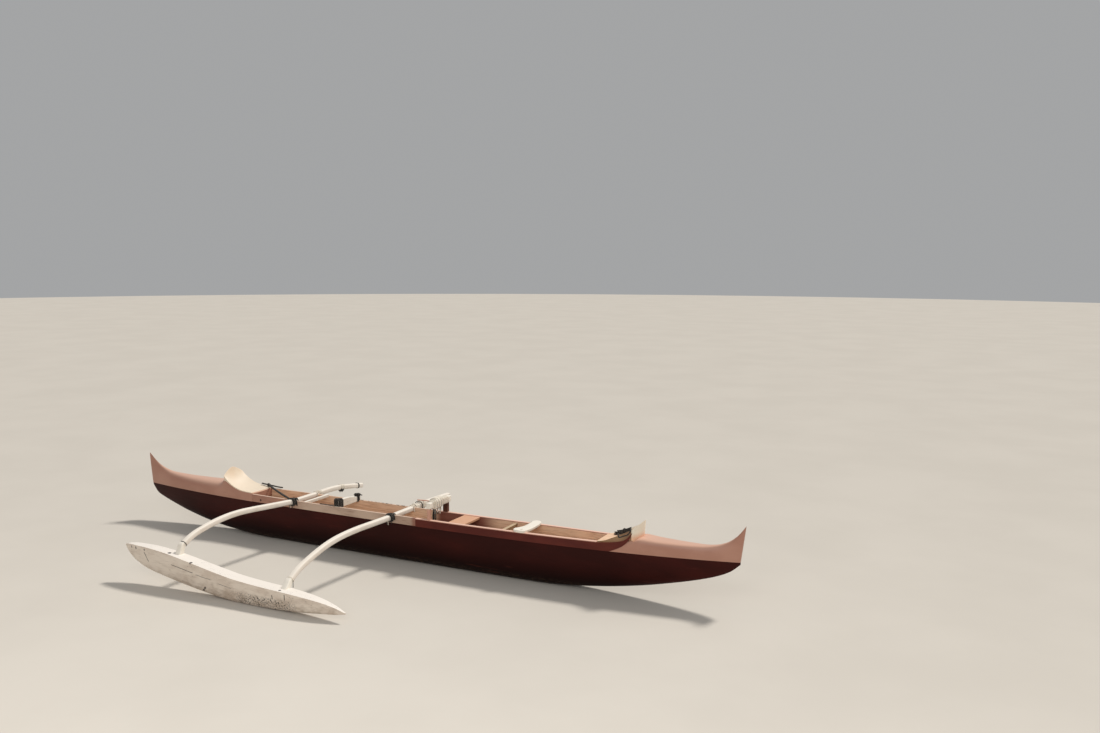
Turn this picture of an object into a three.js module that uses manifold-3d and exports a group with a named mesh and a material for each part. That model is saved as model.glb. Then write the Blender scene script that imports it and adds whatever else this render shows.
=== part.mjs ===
// A wooden outrigger canoe, built up on a round-bilged hull, with two booms that carry one float.
// Millimetres, +Z up. The floor is z = 0, with the keel amidships and the float's belly on it.
// +X runs towards the stern, and the float lies on the port side, towards -Y.
import * as THREE from 'three';
import { mergeVertices } from 'three/addons/utils/BufferGeometryUtils.js';
import Module from 'manifold-3d';

const wasm = await Module();
wasm.setup();

// Driving dimensions of the hull.
const BOW = -3656;             // where the rim of the hull ends at the bow
const STERN = 3650;            // and at the stern
const MIDDLE = (BOW + STERN) / 2;
const HALF_LENGTH = (STERN - BOW) / 2;
const RIM = 426;               // height of the rim amidships, where the dark hull ends
const RIM_RISE = { bow: 5, stern: 47 };
const HALF_BEAM = 188;
const STEM = 9;                // half thickness of the blunt stems
const PLAN_POWER = 3.56;       // how long the sides run parallel before they close in
const BILGE = { middle: 2.3, ends: 1.5 };  // roundness of the section, from full to sharp
const KEEL_FLAT = 30;          // half width of the flat worn along the keel
const KEEL_SHARE = 0.35;       // the most that the flat takes of a narrow section's half width
const WALL = 14;
const HOLLOW = { from: -2200, to: 2620 };  // the hull is hollow between its two bulkheads
const HOLLOW_OVER = 40;        // how far the hollow is cut on above the rim, so that it opens the hull
const GAP = 0.3;               // between pieces that bear on each other

// Into how many steps the curved shapes are divided.
const FINE = {
  hullSide: 9, deck: 16, guard: 12, floatSide: 6, foreBoard: 10, aftBoard: 8, boom: 30, cord: 6, round: 8,
};

// Height of the keel, from the bow to the stern.
const KEEL = [
  { x: BOW, z: 404 },
  { x: -3580, z: 322 },
  { x: -3450, z: 272 },
  { x: -3250, z: 212 },
  { x: -3000, z: 145 },
  { x: -2750, z: 90 },
  { x: -2500, z: 50 },
  { x: -2200, z: 20 },
  { x: -1850, z: 0 },
  { x: 1600, z: 0 },
  { x: 1900, z: 13 },
  { x: 2300, z: 56 },
  { x: 2700, z: 123 },
  { x: 3050, z: 204 },
  { x: 3390, z: 300 },
  { x: 3555, z: 372 },
  { x: STERN, z: 450 },
];

// The boards above the rim.
const STRAKE = 86;             // height, with its rounded lip
const STRAKE_THICK = 20;
const FORE_PROUD = 2;          // how far the outer face stands out from the hull
const AFT_PROUD = 9;
const LIP = 5;                 // rounding of a board's upper edges
const STRAKES_MEET = 290;      // x where the fore boards end and the aft boards begin
const AFT_CAP = 9;             // height of the cap rail on the aft boards
const CAP_LAP = 3;             // how far it laps over the board on each side
const AFT_CAP_END = 2275;       // where the cap rails stop, short of the stern guard
const AFT_BOARD = { foot: 2430, tip: 2655 };  // the ends of the slanted edge that closes each aft board
// The top of the aft boards where they climb under the arms of the stern guard.
const AFT_CLIMB = [
  { x: 2290, z: 521 },
  { x: 2400, z: 530 },
  { x: 2500, z: 546 },
  { x: 2570, z: 566 },
  { x: 2620, z: 602 },
  { x: 2655, z: 646 },
];

// Heights of the decked ends along their middle, from the cockpit out to the tip, and how boxy each
// section is.
const BOW_DECK = [
  { x: -1930, z: 530, box: 14 },
  { x: -2030, z: 538, box: 14 },
  { x: -2130, z: 550, box: 14 },
  { x: -2205, z: 573, box: 14 },
  { x: -2265, z: 602, box: 13 },
  { x: -2315, z: 633, box: 11 },
  { x: -2350, z: 656, box: 9 },
  { x: -2385, z: 640, box: 6 },
  { x: -2430, z: 602, box: 4 },
  { x: -2500, z: 588, box: 3.2 },
  { x: -2750, z: 584, box: 2.8 },
  { x: -2950, z: 584, box: 2.8 },
  { x: -3150, z: 589, box: 2.8 },
  { x: -3320, z: 600, box: 2.6 },
  { x: -3430, z: 626, box: 2.4 },
  { x: -3520, z: 668, box: 2.2 },
  { x: -3590, z: 728, box: 2.2 },
  { x: -3630, z: 772, box: 2.2 },
  { x: BOW, z: 796, box: 2.2 },
];
const STERN_DECK = [
  { x: 2300, z: 536, box: 14 },
  { x: 2450, z: 540, box: 12 },
  { x: 2560, z: 552, box: 8 },
  { x: 2650, z: 580, box: 5 },
  { x: 2730, z: 604, box: 4 },
  { x: 2800, z: 602, box: 3.2 },
  { x: 2900, z: 597, box: 3 },
  { x: 3100, z: 594, box: 2.8 },
  { x: 3300, z: 596, box: 2.8 },
  { x: 3420, z: 609, box: 2.6 },
  { x: 3510, z: 641, box: 2.4 },
  { x: 3580, z: 699, box: 2.2 },
  { x: 3620, z: 757, box: 2.2 },
  { x: STERN, z: 812, box: 2.2 },
];
const LEAN = 0.135;            // how far the stems lean outwards for each millimetre of height
const LEAN_FROM = 250;         // the lean fades in over this length before each stem

// The splash guards are scoops that open towards the cockpit. Each row runs across one, from the cockpit
// edge up to the crest: mid_x and mid_z on the middle line, edge_x and edge_z on the hull's side. The
// root is the row where the back of the guard meets the deck.
const BOW_GUARD = [
  { mid_x: -1950, mid_z: 521, edge_x: -1940, edge_z: 529 },
  { mid_x: -2060, mid_z: 523, edge_x: -2050, edge_z: 533 },
  { mid_x: -2165, mid_z: 533, edge_x: -2140, edge_z: 547 },
  { mid_x: -2245, mid_z: 556, edge_x: -2210, edge_z: 569 },
  { mid_x: -2305, mid_z: 594, edge_x: -2268, edge_z: 598 },
  { mid_x: -2345, mid_z: 642, edge_x: -2315, edge_z: 629 },
  { mid_x: -2368, mid_z: 696, edge_x: -2348, edge_z: 656 },
  { mid_x: -2380, mid_z: 751, edge_x: -2366, edge_z: 675 },
];
const BOW_ROOT = { mid_x: -2375, mid_z: 560, edge_x: -2350, edge_z: 540 };
const STERN_GUARD = [
  { mid_x: 2340, mid_z: 536, edge_x: 2312, edge_z: 533 },
  { mid_x: 2440, mid_z: 540, edge_x: 2386, edge_z: 549 },
  { mid_x: 2530, mid_z: 556, edge_x: 2447, edge_z: 575 },
  { mid_x: 2603, mid_z: 586, edge_x: 2533, edge_z: 615 },
  { mid_x: 2658, mid_z: 628, edge_x: 2597, edge_z: 647 },
  { mid_x: 2698, mid_z: 676, edge_x: 2636, edge_z: 667 },
  { mid_x: 2722, mid_z: 718, edge_x: 2656, edge_z: 679 },
  { mid_x: 2738, mid_z: 753, edge_x: 2668, edge_z: 687 },
];
const STERN_ROOT = { mid_x: 2724, mid_z: 572, edge_x: 2576, edge_z: 522 };
const GUARD_BEND = { cockpit: 2.2, crest: 1.6 };  // how early each row bends towards its edges
const GUARD_THICK = 15;
const GUARD_LIP = 25;          // depth of the guard's front edge, before the deck is cut from it

// The booms cross the hull nearly square. Each table is a centreline, from the float to the free end.
const BOOM_WIDE = 52;
const BOOM_HIGH = 50;
const BOOM_CORNER = 11;
const BOOM_SKEW = 0.03;        // how far they run forward for each millimetre towards the float
const FORE_BOOM_X = -1304;     // where their centrelines cross the middle of the hull
const AFT_BOOM_X = -4;
const FORE_BOOM = [
  { y: -1722, z: 422 },
  { y: -1610, z: 478 },
  { y: -1460, z: 517 },
  { y: -1305, z: 545 },
  { y: -1145, z: 561 },
  { y: -980, z: 564 },
  { y: -810, z: 554 },
  { y: -640, z: 540 },
  { y: -460, z: 525 },
  { y: -280, z: 511 },
  { y: -190, z: 504 },
  { y: 190, z: 506 },
  { y: 380, z: 514 },
  { y: 560, z: 506 },
  { y: 750, z: 481 },
  { y: 975, z: 449 },
];
const AFT_BOOM = [
  { y: -1702, z: 259 },
  { y: -1600, z: 322 },
  { y: -1435, z: 385 },
  { y: -1265, z: 436 },
  { y: -1095, z: 470 },
  { y: -915, z: 487 },
  { y: -735, z: 493 },
  { y: -545, z: 492 },
  { y: -350, z: 490 },
  { y: -190, z: 490 },
  { y: 190, z: 496 },
  { y: 420, z: 504 },
  { y: 640, z: 503 },
  { y: 860, z: 497 },
];

// The float, from its upturned bow to its low stern.
const FLOAT_Y = -1800;
const FLOAT = [
  { x: -2046, top: 353, bottom: 336, half: 7 },
  { x: -2000, top: 366, bottom: 282, half: 20 },
  { x: -1910, top: 373, bottom: 220, half: 37 },
  { x: -1735, top: 372, bottom: 152, half: 52 },
  { x: -1480, top: 355, bottom: 104, half: 61 },
  { x: -1220, top: 321, bottom: 64, half: 66 },
  { x: -1010, top: 288, bottom: 36, half: 68 },
  { x: -800, top: 256, bottom: 13, half: 70 },
  { x: -600, top: 229, bottom: 0, half: 70 },
  { x: -270, top: 206, bottom: 0, half: 70 },
  { x: 0, top: 194, bottom: 12, half: 68 },
  { x: 220, top: 178, bottom: 28, half: 58 },
  { x: 380, top: 159, bottom: 44, half: 43 },
  { x: 520, top: 131, bottom: 58, half: 25 },
  { x: 642, top: 90, bottom: 78, half: 6 },
];
const FLOAT_BILGE = 2.6;
const FLOAT_FLAT = 0.25;       // share of the half width that is flat underneath
const POST_WIDE = 52;          // the short posts that carry the booms on the float
const POST_LEAN = 8;           // how far their feet stand out to port of the float's middle
const POST_NECK = 22;          // straight length below the boom's end
const POST_SPREAD = { middle: 2, foot: 8 };  // how much wider it grows downwards
const POST_SUNK = 30;          // how far a post reaches into the float before the float is cut from it

// Bands of cord on each boom, by their place along it, and those on one boom only.
const BANDS = [
  { at: 'port_lashing', y: -220, length: 52, thick: 9, paint: 'cordage' },
  { at: 'starboard_lashing', y: 222, length: 44, thick: 6, paint: 'twine' },
];
const FOOT_BAND = { length: 22, thick: 5 };    // around the joint of boom and post
const TIP_BANDS = [
  { at: 'tip_lashing_fore', boom: 'fore', y: 605, length: 64, thick: 8, paint: 'cordage' },
  { at: 'end_strap_fore', boom: 'fore', y: 890, length: 36, thick: 5, paint: 'cordage' },
  { at: 'tip_lashing_aft', boom: 'aft', y: 345, length: 74, thick: 6, paint: 'twine' },
];

// Thwarts between or across the boards: x and z as ranges, and y as their reach to either side.
const THWARTS = [
  { at: 'fore_spreader', x: [-1178, -1146], y: 186, z: [486, 517], paint: 'cream' },
  { at: 'fore_crossbeam', x: [-745, -700], y: 200, z: [500, 583], paint: 'cream' },
  { at: 'middle_seat', x: [660, 850], y: 186, z: [484, 508], paint: 'seat' },
  { at: 'aft_thwart', x: [1255, 1292], y: 186, z: [468, 498], paint: 'seat' },
];
const LOW_SEATS = [
  { at: 'bow_seat', x: [-1700, -1500], z: [350, 374], paint: 'seat' },
  { at: 'stern_seat', x: [2010, 2200], z: [376, 400], paint: 'seat' },
];
const RAIL_THWART = { x: [1402, 1558], reach: 206, thick: 24, hole: { y: 150, radius: 12 } };
const RAISED = {
  x: [430, 478], z: [628, 690], reach: 206,
  posts: [
    { name: 'raised_post_port', y: -183, wide: 32, paint: 'cap' },
    { name: 'raised_post_starboard', y: 183, wide: 40, paint: 'brown' },
  ],
};

// Cord wound around the beams, by its range along y.
const WRAPS = [
  { at: 'crossbeam_wrap_port', beam: 'fore_crossbeam', y: [-164, -104], thick: 7, paint: 'cordage' },
  { at: 'crossbeam_wrap_starboard', beam: 'fore_crossbeam', y: [104, 150], thick: 8, paint: 'cordage' },
  { at: 'raised_wrap', beam: 'raised_crossbeam', y: [-150, 24], thick: 10, paint: 'twine' },
];

// The cord drawn from a knot on the bow guard to the fore boom, with two loose tails at the knot.
const CORD = { knot: [-1978, 158, 540], hitch: [-1330, -216, 524], radius: 9, size: [26, 18, 15] };
const CORD_TAILS = [[-2085, 164, 552], [-1780, 174, 530]];
const ROPE_HANK = { rows: [1, 2, 3], column: 10, radius: 13 };  // a rope laid on the stern guard's arm

// Colours as red, green and blue from 0 to 1, with roughness.
const PAINT = {
  hull: { rgb: [0.14, 0.04, 0.035], roughness: 0.45 },
  ends: { rgb: [0.62, 0.39, 0.29], roughness: 0.4 },
  strake: { rgb: [0.47, 0.31, 0.22], roughness: 0.55 },
  redwood: { rgb: [0.26, 0.075, 0.055], roughness: 0.45 },
  cap: { rgb: [0.74, 0.44, 0.33], roughness: 0.5 },
  cream: { rgb: [0.84, 0.77, 0.62], roughness: 0.4 },
  white: { rgb: [0.83, 0.79, 0.72], roughness: 0.55 },
  seat: { rgb: [0.66, 0.38, 0.24], roughness: 0.5 },
  brown: { rgb: [0.25, 0.14, 0.08], roughness: 0.6 },
  cordage: { rgb: [0.03, 0.03, 0.03], roughness: 0.8 },
  twine: { rgb: [0.7, 0.66, 0.58], roughness: 0.8 },
};

const canoe = new THREE.Group();
const V = (x, y, z) => new THREE.Vector3(x, y, z);

// A value from a table whose rows are sorted by x, with a smooth curve through the rows.
function along(rows, x, column) {
  const up = rows[0].x < rows[rows.length - 1].x;
  const list = up ? rows : [...rows].reverse();
  const last = list.length - 1;
  const at = THREE.MathUtils.clamp(x, list[0].x, list[last].x);
  let i = 0;
  while (i < last - 1 && list[i + 1].x < at) i += 1;
  const slope = (k) => {
    if (k === 0 || k === last) return 0;
    const before = (list[k][column] - list[k - 1][column]) / (list[k].x - list[k - 1].x);
    const after = (list[k + 1][column] - list[k][column]) / (list[k + 1].x - list[k].x);
    return before * after <= 0 ? 0 : (2 * before * after) / (before + after);
  };
  const ends = (k, other) => {
    if (k !== 0 && k !== last) return slope(k);
    return (list[other][column] - list[k][column]) / (list[other].x - list[k].x);
  };
  const span = list[i + 1].x - list[i].x;
  const t = (at - list[i].x) / span;
  const [p, q] = [list[i][column], list[i + 1][column]];
  const [m, n] = [ends(i, i + 1) * span, ends(i + 1, i) * span];
  return (2 * t ** 3 - 3 * t ** 2 + 1) * p + (t ** 3 - 2 * t ** 2 + t) * m
    + (3 * t ** 2 - 2 * t ** 3) * q + (t ** 3 - t ** 2) * n;
}

// Numbers from one value to another in equal steps, both ends included.
function steps(from, to, count) {
  return Array.from({ length: count + 1 }, (_, i) => from + ((to - from) * i) / count);
}

// A closed geometry from corner points and triangles, turned so that its faces point out.
function closed(points, triangles) {
  let volume = 0;
  for (const [a, b, c] of triangles) {
    volume += points[a].dot(new THREE.Vector3().crossVectors(points[b], points[c]));
  }
  const index = triangles.flatMap(([a, b, c]) => (volume > 0 ? [a, b, c] : [a, c, b]));
  const geometry = new THREE.BufferGeometry().setFromPoints(points);
  geometry.setIndex(index);
  return geometry;
}

// A body through closed rings of equally many points, with a flat cap on the first and the last.
function loft(rings) {
  const size = rings[0].length;
  const points = rings.flat();
  const triangles = [];
  for (let r = 0; r < rings.length - 1; r += 1) {
    for (let i = 0; i < size; i += 1) {
      const [a, b] = [r * size + i, r * size + ((i + 1) % size)];
      triangles.push([a, b, b + size], [a, b + size, a + size]);
    }
  }
  for (const r of [0, rings.length - 1]) {
    const centre = new THREE.Vector3();
    rings[r].forEach((p) => centre.addScaledVector(p, 1 / size));
    points.push(centre);
    for (let i = 0; i < size; i += 1) {
      const [a, b] = [r * size + i, r * size + ((i + 1) % size)];
      triangles.push(r === 0 ? [points.length - 1, b, a] : [points.length - 1, a, b]);
    }
  }
  return closed(points, triangles);
}

// A body between two grids of points, an upper and a lower one.
function slab(upper, lower) {
  const [rows, columns] = [upper.length, upper[0].length];
  const points = [...upper.flat(), ...lower.flat()];
  const half = rows * columns;
  const triangles = [];
  const quad = (a, b, c, d) => triangles.push([a, b, c], [a, c, d]);
  const id = (i, j) => i * columns + j;
  for (let i = 0; i < rows - 1; i += 1) {
    for (let j = 0; j < columns - 1; j += 1) {
      quad(id(i, j), id(i, j + 1), id(i + 1, j + 1), id(i + 1, j));
      quad(half + id(i, j), half + id(i + 1, j), half + id(i + 1, j + 1), half + id(i, j + 1));
    }
    const [p, q, e] = [id(i, 0), id(i + 1, 0), columns - 1];
    quad(p, q, half + q, half + p);
    quad(q + e, p + e, half + p + e, half + q + e);
  }
  for (let j = 0; j < columns - 1; j += 1) {
    const [p, q, e] = [id(0, j), id(0, j + 1), (rows - 1) * columns];
    quad(q, p, half + p, half + q);
    quad(p + e, q + e, half + q + e, half + p + e);
  }
  return closed(points, triangles);
}

// A geometry as a solid that can be cut and joined, and back again.
function solid(geometry) {
  const bare = geometry.clone();
  for (const name of Object.keys(bare.attributes)) if (name !== 'position') bare.deleteAttribute(name);
  const merged = mergeVertices(bare, 1e-3);
  return new wasm.Manifold(new wasm.Mesh({
    numProp: 3,
    vertProperties: new Float32Array(merged.attributes.position.array),
    triVerts: new Uint32Array(merged.index.array),
  }));
}

function shape(body) {
  const mesh = body.getMesh();
  const geometry = new THREE.BufferGeometry();
  geometry.setAttribute('position', new THREE.BufferAttribute(new Float32Array(mesh.vertProperties), 3));
  geometry.setIndex([...mesh.triVerts]);
  return geometry;
}

// The main piece of a cut solid, without the crumbs that a cut can leave.
function whole(body) {
  return body.decompose().sort((a, b) => b.volume() - a.volume())[0];
}

function add(name, body, paint) {
  const geometry = shape(whole(body));
  const { rgb, roughness } = PAINT[paint];
  const color = new THREE.Color().setRGB(...rgb);
  const faceted = geometry.toNonIndexed();
  faceted.computeVertexNormals();
  const mesh = new THREE.Mesh(faceted, new THREE.MeshStandardMaterial({ color, roughness, metalness: 0 }));
  mesh.name = name;
  canoe.add(mesh);
}

// The hull's own lines.
const part = (x) => (x - MIDDLE) / HALF_LENGTH;
const halfBeam = (x) => STEM + (HALF_BEAM - STEM) * Math.max(0, 1 - Math.abs(part(x)) ** PLAN_POWER);
const rim = (x) => RIM + (part(x) < 0 ? RIM_RISE.bow : RIM_RISE.stern) * part(x) ** 2;
const keel = (x) => along(KEEL, x, 'z');

// A section of the hull below the rim, as a closed ring. inset makes the hollow's section.
function hullRing(x, inset, top) {
  const sharp = Math.abs(part(x)) ** 2;
  const power = 2 / (BILGE.middle + (BILGE.ends - BILGE.middle) * sharp);
  const beam = halfBeam(x) - inset;
  const [low, high] = [keel(x) + inset, rim(x)];
  const flat = Math.min(KEEL_FLAT, beam * KEEL_SHARE);
  const side = steps(0, Math.PI / 2, FINE.hullSide).map((a) => [
    flat + (beam - flat) * Math.sin(a) ** power,
    high - (high - low) * Math.cos(a) ** power,
  ]);
  const starboard = side.map(([y, z]) => V(x, y, z));
  const port = side.map(([y, z]) => V(x, -y, z)).reverse();
  const lid = top ? [V(x, beam, top), V(x, -beam, top)] : [];
  return [...starboard, ...lid, ...port];
}

const HULL_STATIONS = [
  BOW, -3625, -3580, -3520, -3450, -3350, -3250, -3125, -3000, -2875, -2750, -2500, -2200, -1850,
  -1400, -900, -300, 300, 600, 900, 1250, 1600, 1900, 2150, 2400, 2600, 2800, 3000, 3150, 3300, 3420,
  3510, 3575, 3620, STERN,
];

// A decked end, from its table, as a solid with a crowned top that rises to the tip.
const LONG_STEP = 120;         // rows further apart than this get a station between them

function deckedEnd(rows, outer, grow = 0) {
  const sign = Math.sign(outer);
  const stations = [];
  for (let i = 0; i < rows.length - 1; i += 1) {
    const cuts = Math.abs(rows[i + 1].x - rows[i].x) > LONG_STEP ? 2 : 1;
    stations.push(...steps(rows[i].x, rows[i + 1].x, cuts).slice(0, -1));
  }
  stations.push(rows[rows.length - 1].x);
  return solid(loft(stations.map((x) => {
    const beam = halfBeam(x) + FORE_PROUD + grow;
    const [low, high] = [rim(x) + GAP - grow, along(rows, x, 'z') + grow];
    const power = 2 / along(rows, x, 'box');
    const fade = THREE.MathUtils.smoothstep(Math.abs(x), Math.abs(outer) - LEAN_FROM, Math.abs(outer));
    return steps(0, Math.PI, FINE.deck).map((a) => {
      const y = -beam * Math.sign(Math.cos(a)) * Math.abs(Math.cos(a)) ** power;
      const z = low + (high - low) * Math.abs(Math.sin(a)) ** power;
      return V(x + sign * LEAN * fade * (z - low), y, z);
    });
  })));
}

// The grid of a splash guard's upper surface, and the same grid moved along its normals.
const guardEdge = (row) => halfBeam(row.edge_x) + FORE_PROUD;

function guardGrid(rows) {
  return rows.map((row, i) => steps(-1, 1, FINE.guard).map((s) => {
    const power = THREE.MathUtils.lerp(GUARD_BEND.cockpit, GUARD_BEND.crest, i / (rows.length - 1));
    const bend = Math.abs(s) ** power;
    const x = THREE.MathUtils.lerp(row.mid_x, row.edge_x, bend);
    const z = THREE.MathUtils.lerp(row.mid_z, row.edge_z, bend);
    return V(x, guardEdge(row) * s, z);
  }));
}

function moved(grid, distance) {
  const pick = (i, j) => grid[THREE.MathUtils.clamp(i, 0, grid.length - 1)][
    THREE.MathUtils.clamp(j, 0, grid[0].length - 1)];
  return grid.map((row, i) => row.map((p, j) => {
    const u = pick(i + 1, j).clone().sub(pick(i - 1, j));
    const v = pick(i, j + 1).clone().sub(pick(i, j - 1));
    const normal = u.cross(v).normalize();
    if (normal.z > 0) normal.negate();
    const q = p.clone().addScaledVector(normal, distance);
    const limit = Math.abs(row[0].y);
    q.y = THREE.MathUtils.clamp(q.y, -limit, limit);
    return q;
  }));
}

// The space above a guard's underside, which is cut from the decked end below it.
const ROOM = { beside: 30, before: 120, top: 900 };
const inwards = (rows) => Math.sign(rows[0].mid_x - rows[1].mid_x);

function guardRoom(rows, depth) {
  const lower = moved(guardGrid(rows), depth).map((row) => {
    const [first, last] = [row[0], row[row.length - 1]];
    const port = V(first.x, first.y - ROOM.beside, first.z);
    return [port, ...row, V(last.x, last.y + ROOM.beside, last.z)];
  });
  const start = lower[0].map((p) => p.clone().add(V(inwards(rows) * ROOM.before, 0, 0)));
  const floor = [start, ...lower];
  const lid = floor.map((row) => row.map((p) => V(p.x, p.y, ROOM.top)));
  return solid(slab(lid, floor));
}

// A guard as a wedge that reaches down to its root, before the deck is cut from it.
function guardWedge(rows, root) {
  const [first, last] = [rows[0], rows[rows.length - 1]];
  const start = { ...first, mid_z: first.mid_z - GUARD_LIP, edge_z: first.edge_z - GUARD_LIP };
  const lower = rows.map((row) => {
    const t = (row.mid_x - first.mid_x) / (last.mid_x - first.mid_x);
    return Object.fromEntries(Object.keys(start).map((key) => (
      [key, THREE.MathUtils.lerp(start[key], root[key], t)])));
  });
  return solid(slab(guardGrid(rows), guardGrid(lower)));
}

// The boards, as rings along the hull's side with a rounded upper edge.
const SIDES = { port: -1, starboard: 1 };
const TIP_DEPTH = 8;           // of an aft board, where its slanted edge runs out

function boardRing(x, side, from, to, high, low, grow) {
  const out = halfBeam(x) + to + grow;
  const inn = halfBeam(x) - from - grow;
  const [floor, top] = [low - grow, high + grow];
  const round = Math.min(LIP, (top - floor) / 3);
  return [
    V(x, side * inn, floor), V(x, side * out, floor), V(x, side * out, top - round),
    V(x, side * (out - round), top), V(x, side * (inn + round), top), V(x, side * inn, top - round),
  ];
}

function foreBoard(side, grow = 0) {
  const [from, to] = [BOW_DECK[0].x + GAP, STRAKES_MEET];
  return solid(loft(steps(from - grow, to + grow, FINE.foreBoard).map((x) => (
    boardRing(x, side, STRAKE_THICK, FORE_PROUD, rim(x) + STRAKE, rim(x) + GAP, grow)))));
}

function aftBoard(side, grow = 0) {
  const { foot, tip } = AFT_BOARD;
  const climb = AFT_CLIMB[0].x;
  const stations = [
    ...steps(STRAKES_MEET + GAP - grow, climb, FINE.aftBoard),
    ...steps(climb, foot, 2).slice(1),
    ...AFT_CLIMB.filter(({ x }) => x > foot).map(({ x }) => x),
  ];
  return solid(loft(stations.map((x) => {
    const high = x < climb ? rim(x) + STRAKE - AFT_CAP : along(AFT_CLIMB, x, 'z');
    const rise = THREE.MathUtils.clamp((x - foot) / (tip - foot), 0, 1);
    const low = THREE.MathUtils.lerp(rim(x) + GAP, high - TIP_DEPTH, rise);
    return boardRing(x, side, STRAKE_THICK, AFT_PROUD, high, low, grow);
  })));
}

function capRail(side, grow = 0) {
  return solid(loft(steps(STRAKES_MEET + GAP, AFT_CAP_END, FINE.aftBoard).map((x) => {
    const low = rim(x) + STRAKE - AFT_CAP + GAP;
    return boardRing(x, side, STRAKE_THICK + CAP_LAP, AFT_PROUD + CAP_LAP, low + AFT_CAP, low, grow);
  })));
}

// A rectangle with cut corners, for the section of a boom or a band around it.
function bar(wide, high, corner) {
  const [w, h] = [wide / 2, high / 2];
  return new THREE.Shape([
    [-w + corner, -h], [w - corner, -h], [w, -h + corner], [w, h - corner],
    [w - corner, h], [-w + corner, h], [-w, h - corner], [-w, -h + corner],
  ].map(([x, y]) => new THREE.Vector2(x, y)));
}

function boomCurve(rows, x, grow = 0) {
  const points = rows.map(({ y, z }) => V(x + BOOM_SKEW * y, y, z));
  for (const [end, next] of [[points[0], points[1]], [points.at(-1), points.at(-2)]]) {
    end.addScaledVector(end.clone().sub(next).normalize(), grow);
  }
  return new THREE.CatmullRomCurve3(points, false, 'centripetal');
}

function boom(rows, x, grow = 0) {
  const section = bar(BOOM_WIDE + 2 * grow, BOOM_HIGH + 2 * grow, BOOM_CORNER);
  const extrudePath = boomCurve(rows, x, grow);
  return solid(new THREE.ExtrudeGeometry(section, { steps: FINE.boom, extrudePath, bevelEnabled: false }));
}

// A point of a boom's centreline at a given y, found by halving, with its direction to the free end.
const HALVINGS = 40;

function boomAt(rows, x, y) {
  const curve = boomCurve(rows, x);
  let [low, high] = [0, 1];
  for (let i = 0; i < HALVINGS; i += 1) {
    const middle = (low + high) / 2;
    if (curve.getPointAt(middle).y < y) low = middle;
    else high = middle;
  }
  return { at: curve.getPointAt(low), way: curve.getTangentAt(low) };
}

// A band of cord around a boom, as a closed collar that the boom's own shape is cut from.
function band(rows, x, y, length, thick, grow = 0) {
  const { at, way } = boomAt(rows, x, y);
  const half = way.clone().multiplyScalar(length / 2 + grow);
  const extrudePath = new THREE.LineCurve3(at.clone().sub(half), at.clone().add(half));
  const section = bar(BOOM_WIDE + 2 * (thick + grow), BOOM_HIGH + 2 * (thick + grow), BOOM_CORNER);
  const block = new THREE.ExtrudeGeometry(section, { steps: 1, extrudePath, bevelEnabled: false });
  return solid(block);
}

// The float, whose flat top and round belly run to a point at each end.
function floatRing(row, grow) {
  const half = row.half + grow;
  const [low, high] = [row.bottom - grow, row.top + grow];
  const flat = half * FLOAT_FLAT;
  const side = steps(0, Math.PI / 2, FINE.floatSide).map((a) => [
    flat + (half - flat) * Math.sin(a) ** (2 / FLOAT_BILGE),
    high - (high - low) * Math.cos(a) ** (2 / FLOAT_BILGE),
  ]);
  const ring = [...side, ...side.map(([y, z]) => [-y, z]).reverse()];
  return ring.map(([y, z]) => V(row.x, FLOAT_Y + y, z));
}

const float = (grow = 0) => solid(loft(FLOAT.map((row) => floatRing(row, grow))));

// A short post that leans out from the end of a boom and stands on the float.
function post(rows, x, grow = 0) {
  const { at, way } = boomAt(rows, x, rows[0].y);
  const side = way.clone().cross(V(-1, 0, 0)).normalize();
  const footX = x + BOOM_SKEW * FLOAT_Y;
  const foot = V(footX, FLOAT_Y - POST_LEAN, along(FLOAT, footX, 'top') - POST_SUNK);
  const ring = (centre, up, wide) => (
    bar(wide + 2 * grow, wide + 2 * grow, BOOM_CORNER).getPoints().slice(0, 8).map((p) => (
      centre.clone().add(V(p.x, 0, 0)).addScaledVector(up, p.y))));
  const neck = at.clone().addScaledVector(way, -POST_NECK);
  const halfway = side.clone().add(V(0, 1, 0)).normalize();
  return solid(loft([
    ring(at.clone().addScaledVector(way, 2 * grow - GAP), side, POST_WIDE),
    ring(neck, side, POST_WIDE),
    ring(neck.clone().lerp(foot, 0.5), halfway, POST_WIDE + POST_SPREAD.middle),
    ring(foot, V(0, 1, 0), POST_WIDE + POST_SPREAD.foot),
  ]));
}

function box(from, to) {
  const size = V(to[0] - from[0], to[1] - from[1], to[2] - from[2]);
  const block = new THREE.BoxGeometry(size.x, size.y, size.z);
  return block.translate((from[0] + to[0]) / 2, (from[1] + to[1]) / 2, (from[2] + to[2]) / 2);
}

// The hull, its ends and its guards.
const inner = [HOLLOW.from, ...HULL_STATIONS.filter((x) => x > HOLLOW.from && x < HOLLOW.to), HOLLOW.to];
const hollow = (inset) => solid(loft(inner.map((x) => hullRing(x, inset, rim(x) + HOLLOW_OVER))));
const inside = hollow(WALL + GAP);
add('hull_shell', solid(loft(HULL_STATIONS.map((x) => hullRing(x, 0)))).subtract(hollow(WALL)), 'hull');

const foreRoom = foreBoard(-1, GAP).add(foreBoard(1, GAP));
const aftRoom = aftBoard(-1, GAP).add(aftBoard(1, GAP));
const railRoom = capRail(-1, GAP).add(capRail(1, GAP));
const boardRoom = foreRoom.add(aftRoom).add(railRoom);
const boomRoom = boom(FORE_BOOM, FORE_BOOM_X, GAP).add(boom(AFT_BOOM, AFT_BOOM_X, GAP));

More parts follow.
